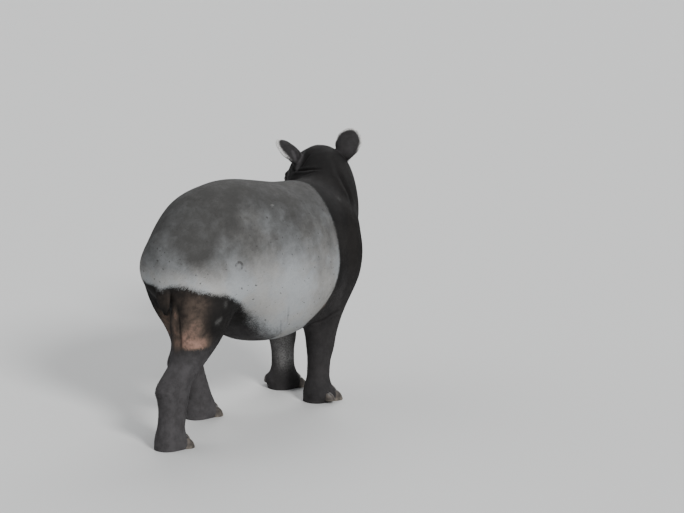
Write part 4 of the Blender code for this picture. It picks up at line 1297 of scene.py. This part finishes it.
def hoof_material():
    """Worn horn: fine upright grain, faint growth rings, dust near the floor."""
    n = Nodes("horn")
    grain = n.noise(260, 3, 0.6, (1.0, 1.0, 0.08))
    rings = n.noise(16, 2, 0.5, (0.15, 0.15, 12.0))
    patch = n.noise(38, 4, 0.6)
    colour = n.blend(n.step(patch, 0.35, 0.68), *HORN)
    colour = n.blend(n.step(grain, 0.50, 0.80, 0.0, 0.5), colour, PALE_GRAIN)
    low = n.step(n.split(n.place())[2], 0.002, 0.020, 0.75, 0.0)
    colour = n.blend(n.times(low, n.step(patch, 0.30, 0.60)), colour, DRY_EARTH)
    normal = n.bump(grain, 0.40, 0.0006, n.bump(rings, 0.35, 0.0012))
    return n.finish(colour, n.step(patch, 0.3, 0.7, 0.42, 0.62), {"Specular IOR Level": 0.45}, normal)


# Eyes and hooves

def make_eyes():
    """Two glossy eyeballs, each turned so that its own axis looks out between the lids."""
    mat = eye_material()
    for name, side in (("left", 1), ("right", -1)):
        mesh = bmesh.new()
        bmesh.ops.create_uvsphere(mesh, u_segments=48, v_segments=32, radius=EYE_RADIUS - EYE_GAP)
        for vert in mesh.verts:
            bulge = ease(vert.co.z / EYE_RADIUS, 0.72, 1.0)
            vert.co.z += EYE_BULGE * float(bulge) - EYE_BULGE
        eye = object_of("eyeball_" + name, mesh)
        eye.data.shade_smooth()
        eye.data.materials.append(mat)
        turn_to(eye, row_way(eye_way(side)))
        eye.location = to_row(eye_at(side))
        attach(eye, "root")
        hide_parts("eye_" + name)


def make_hooves():
    """Each hoof as horn with a rounded lower edge and faint rings of growth."""
    mat = hoof_material()
    for leg in LEGS:
        for number, heading, left, tip, half, high, lift in toes_of(leg):
            long = HOOF_LENGTH * half
            rings = []
            for share, size, set_back in smooth_rows(HOOF_RISE, 20):
                worn = HOOF_WEAR[0] * (1 - ease(share, 0.0, HOOF_WEAR[1]))
                edge = 1 - worn + HOOF_RINGS[0] * math.sin(share * HOOF_RINGS[1])
                centre = tip - (long + set_back * half) * heading + (lift + share * high) * UP
                wide = half * size * edge
                rings.append(section(centre, heading, left, long * size * edge, wide, wide, 2.3, 40))
            mesh = bmesh.new()
            add_loft(mesh, rings)
            hoof = object_of(f"horn_{leg}_{number}", mesh)
            hoof.data.shade_smooth()
            hoof.data.set_sharp_from_angle(angle=math.radians(60))
            hoof.data.materials.append(mat)
            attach(hoof, "root")
            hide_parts(f"{leg}_hoof_{number}")


# Skin

def set_attribute(mesh, name, values):
    """Keeps one number for each vertex."""
    layer = mesh.attributes.new(name, "FLOAT", "POINT")
    layer.data.foreach_set("value", np.asarray(values, np.float32))


def patches(tree, body, spots):
    """How strongly each point lies in any of a list of marks that the camera sees."""
    rest = np.ones(len(body))
    for pixels, reach, strength, floor in spots:
        line = [from_row(p) for p in seen(tree, pixels)]
        if line:
            away = near_line(body, line + line[-1:], reach * 3)[0]
            rest *= 1 - strength * bell(away, reach) * ease(body[:, 2], floor, floor + 0.012)
    return 1 - rest


def make_skin():
    """The one skin over the whole animal, with its markings as numbers on its vertices."""
    skin = flesh_object()
    ears, rims = ears_object()
    join(skin, ears)
    refine_detail(skin)
    body, normals = from_row(points_of(skin)), from_row_way(normals_of(skin))
    for shape in (shape_forms, shape_mouth, shape_nose):
        body = shape(body, normals)
    put_points(skin, to_row(shape_lids(body)))
    # The shade painted into the folds.
    fold_shade = press_folds(skin)
    body, tree = from_row(points_of(skin)), tree_of(skin)
    f, _, z = body.T
    # White marks, among them a painted highlight and painted light.
    rim = patches(tree, body, PALE_AND_LIT)
    for line, name in zip(rims, EARS):
        away, up = near_line(body, line, 0.03)[0], on_ear(body, name)[1]
        rim = np.maximum(rim, (1 - ease(away, 0.0085, 0.0175)) * ease(up / EAR_LENGTH, 0.25, 0.60))
    edge = saddle_edge(body)
    hind = 1 - ease(f, 0.50, 0.65)
    dust = 0.85 * hind * (1 - ease(z, 0.33, 0.46))
    dust = dust + (1 - hind) * (0.18 + 0.20 * (1 - ease(z, 0.10, 0.45))) * (z < 0.6)
    dust = np.maximum(dust * (1 - ease(z, 0.45, 0.60)), 0.40 * on_ears(body))
    # Dust, and painted light on the left foreleg.
    dust = np.maximum(dust, patches(tree, body, DUSTY_AND_LIT))
    values = (edge, smoke_and_painted_light_of(body, edge), rim, patches(tree, body, BARE), dust, fold_shade)
    for mark, value in zip(MARKS, values):
        set_attribute(skin.data, mark, value)
    skin.data.shade_smooth()
    skin.data.materials.clear()
    skin.data.materials.append(skin_material())
    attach(skin, "root")
    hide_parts(*[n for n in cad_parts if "hoof" not in n and "eye" not in n])
    return skin


def make_coats(skin):
    """The coat in pieces: the saddle's two sides, the front, the legs in two pairs, and the head."""
    body = from_row(points_of(skin))
    f, l, z = body.T
    head = head_frame(body)
    on_head = (head[:, 0] > -0.02) & (apart(head, (0.18, 0, -0.03)) < 0.36) & (z > 0.5)
    saddle, rim = (attribute_of(skin.data, name)[:, 0] for name in ("saddle", "rim"))
    pale = saddle > -0.01
    # None on the ears' rims, the eyes and the snout's tip, and none where the feet meet the floor.
    furry = 1 - on_ears(body) * ease(rim, 0.05, 0.40)
    for side in (1, -1):
        furry *= ease(apart(body, eye_at(side)), 0.022, 0.032)
    furry *= ease(apart(body, SNOUT_TIP), 0.018, 0.045)
    legs = ~pale & ~on_head & ((z < 0.5) | (f < 0.6))
    front = (~pale & ~on_head & ~legs) * furry
    legs = legs * ease(z, 0.010, 0.030)
    mat = coat_material()
    weights = (pale * (l > 0), pale * (l <= 0), front, legs * (f < 0.6), legs * (f >= 0.6), on_head * furry)
    for name, weight in zip(COATS, weights):
        make_coat(skin, name, weight, mat)


def make_stage():
    """A plain pale floor and soft studio light from the right of the camera."""
    mesh = bmesh.new()
    bmesh.ops.create_grid(mesh, x_segments=1, y_segments=1, size=60)
    floor = object_of("floor", mesh)
    floor.data.materials.append(Nodes("floor_paint").finish(FLOOR, 0.85))
    for name, way, power, spread in (
        ("key", -SIGHT + 0.50 * SIDE + 0.42 * RISE, 3.0, 14),
        ("fill", (-0.3, 0.8, 0.7), 0.7, 60),
        ("front", (0.9, 0.45, 0.55), 1.9, 50),
    ):
        light = bpy.data.lights.new(name, "SUN")
        light.energy = power
        light.angle = math.radians(spread)
        turn_to(link(name, light), row_way(unit(way)))
    world = bpy.data.worlds.new("studio")
    world.use_nodes = True
    back = world.node_tree.nodes["Background"]
    back.inputs[0].default_value = AIR
    back.inputs[1].default_value = 0.48
    bpy.context.scene.world = world


make_camera()
make_stage()
skin_piece = make_skin()
make_eyes()
make_hooves()
make_coats(skin_piece)
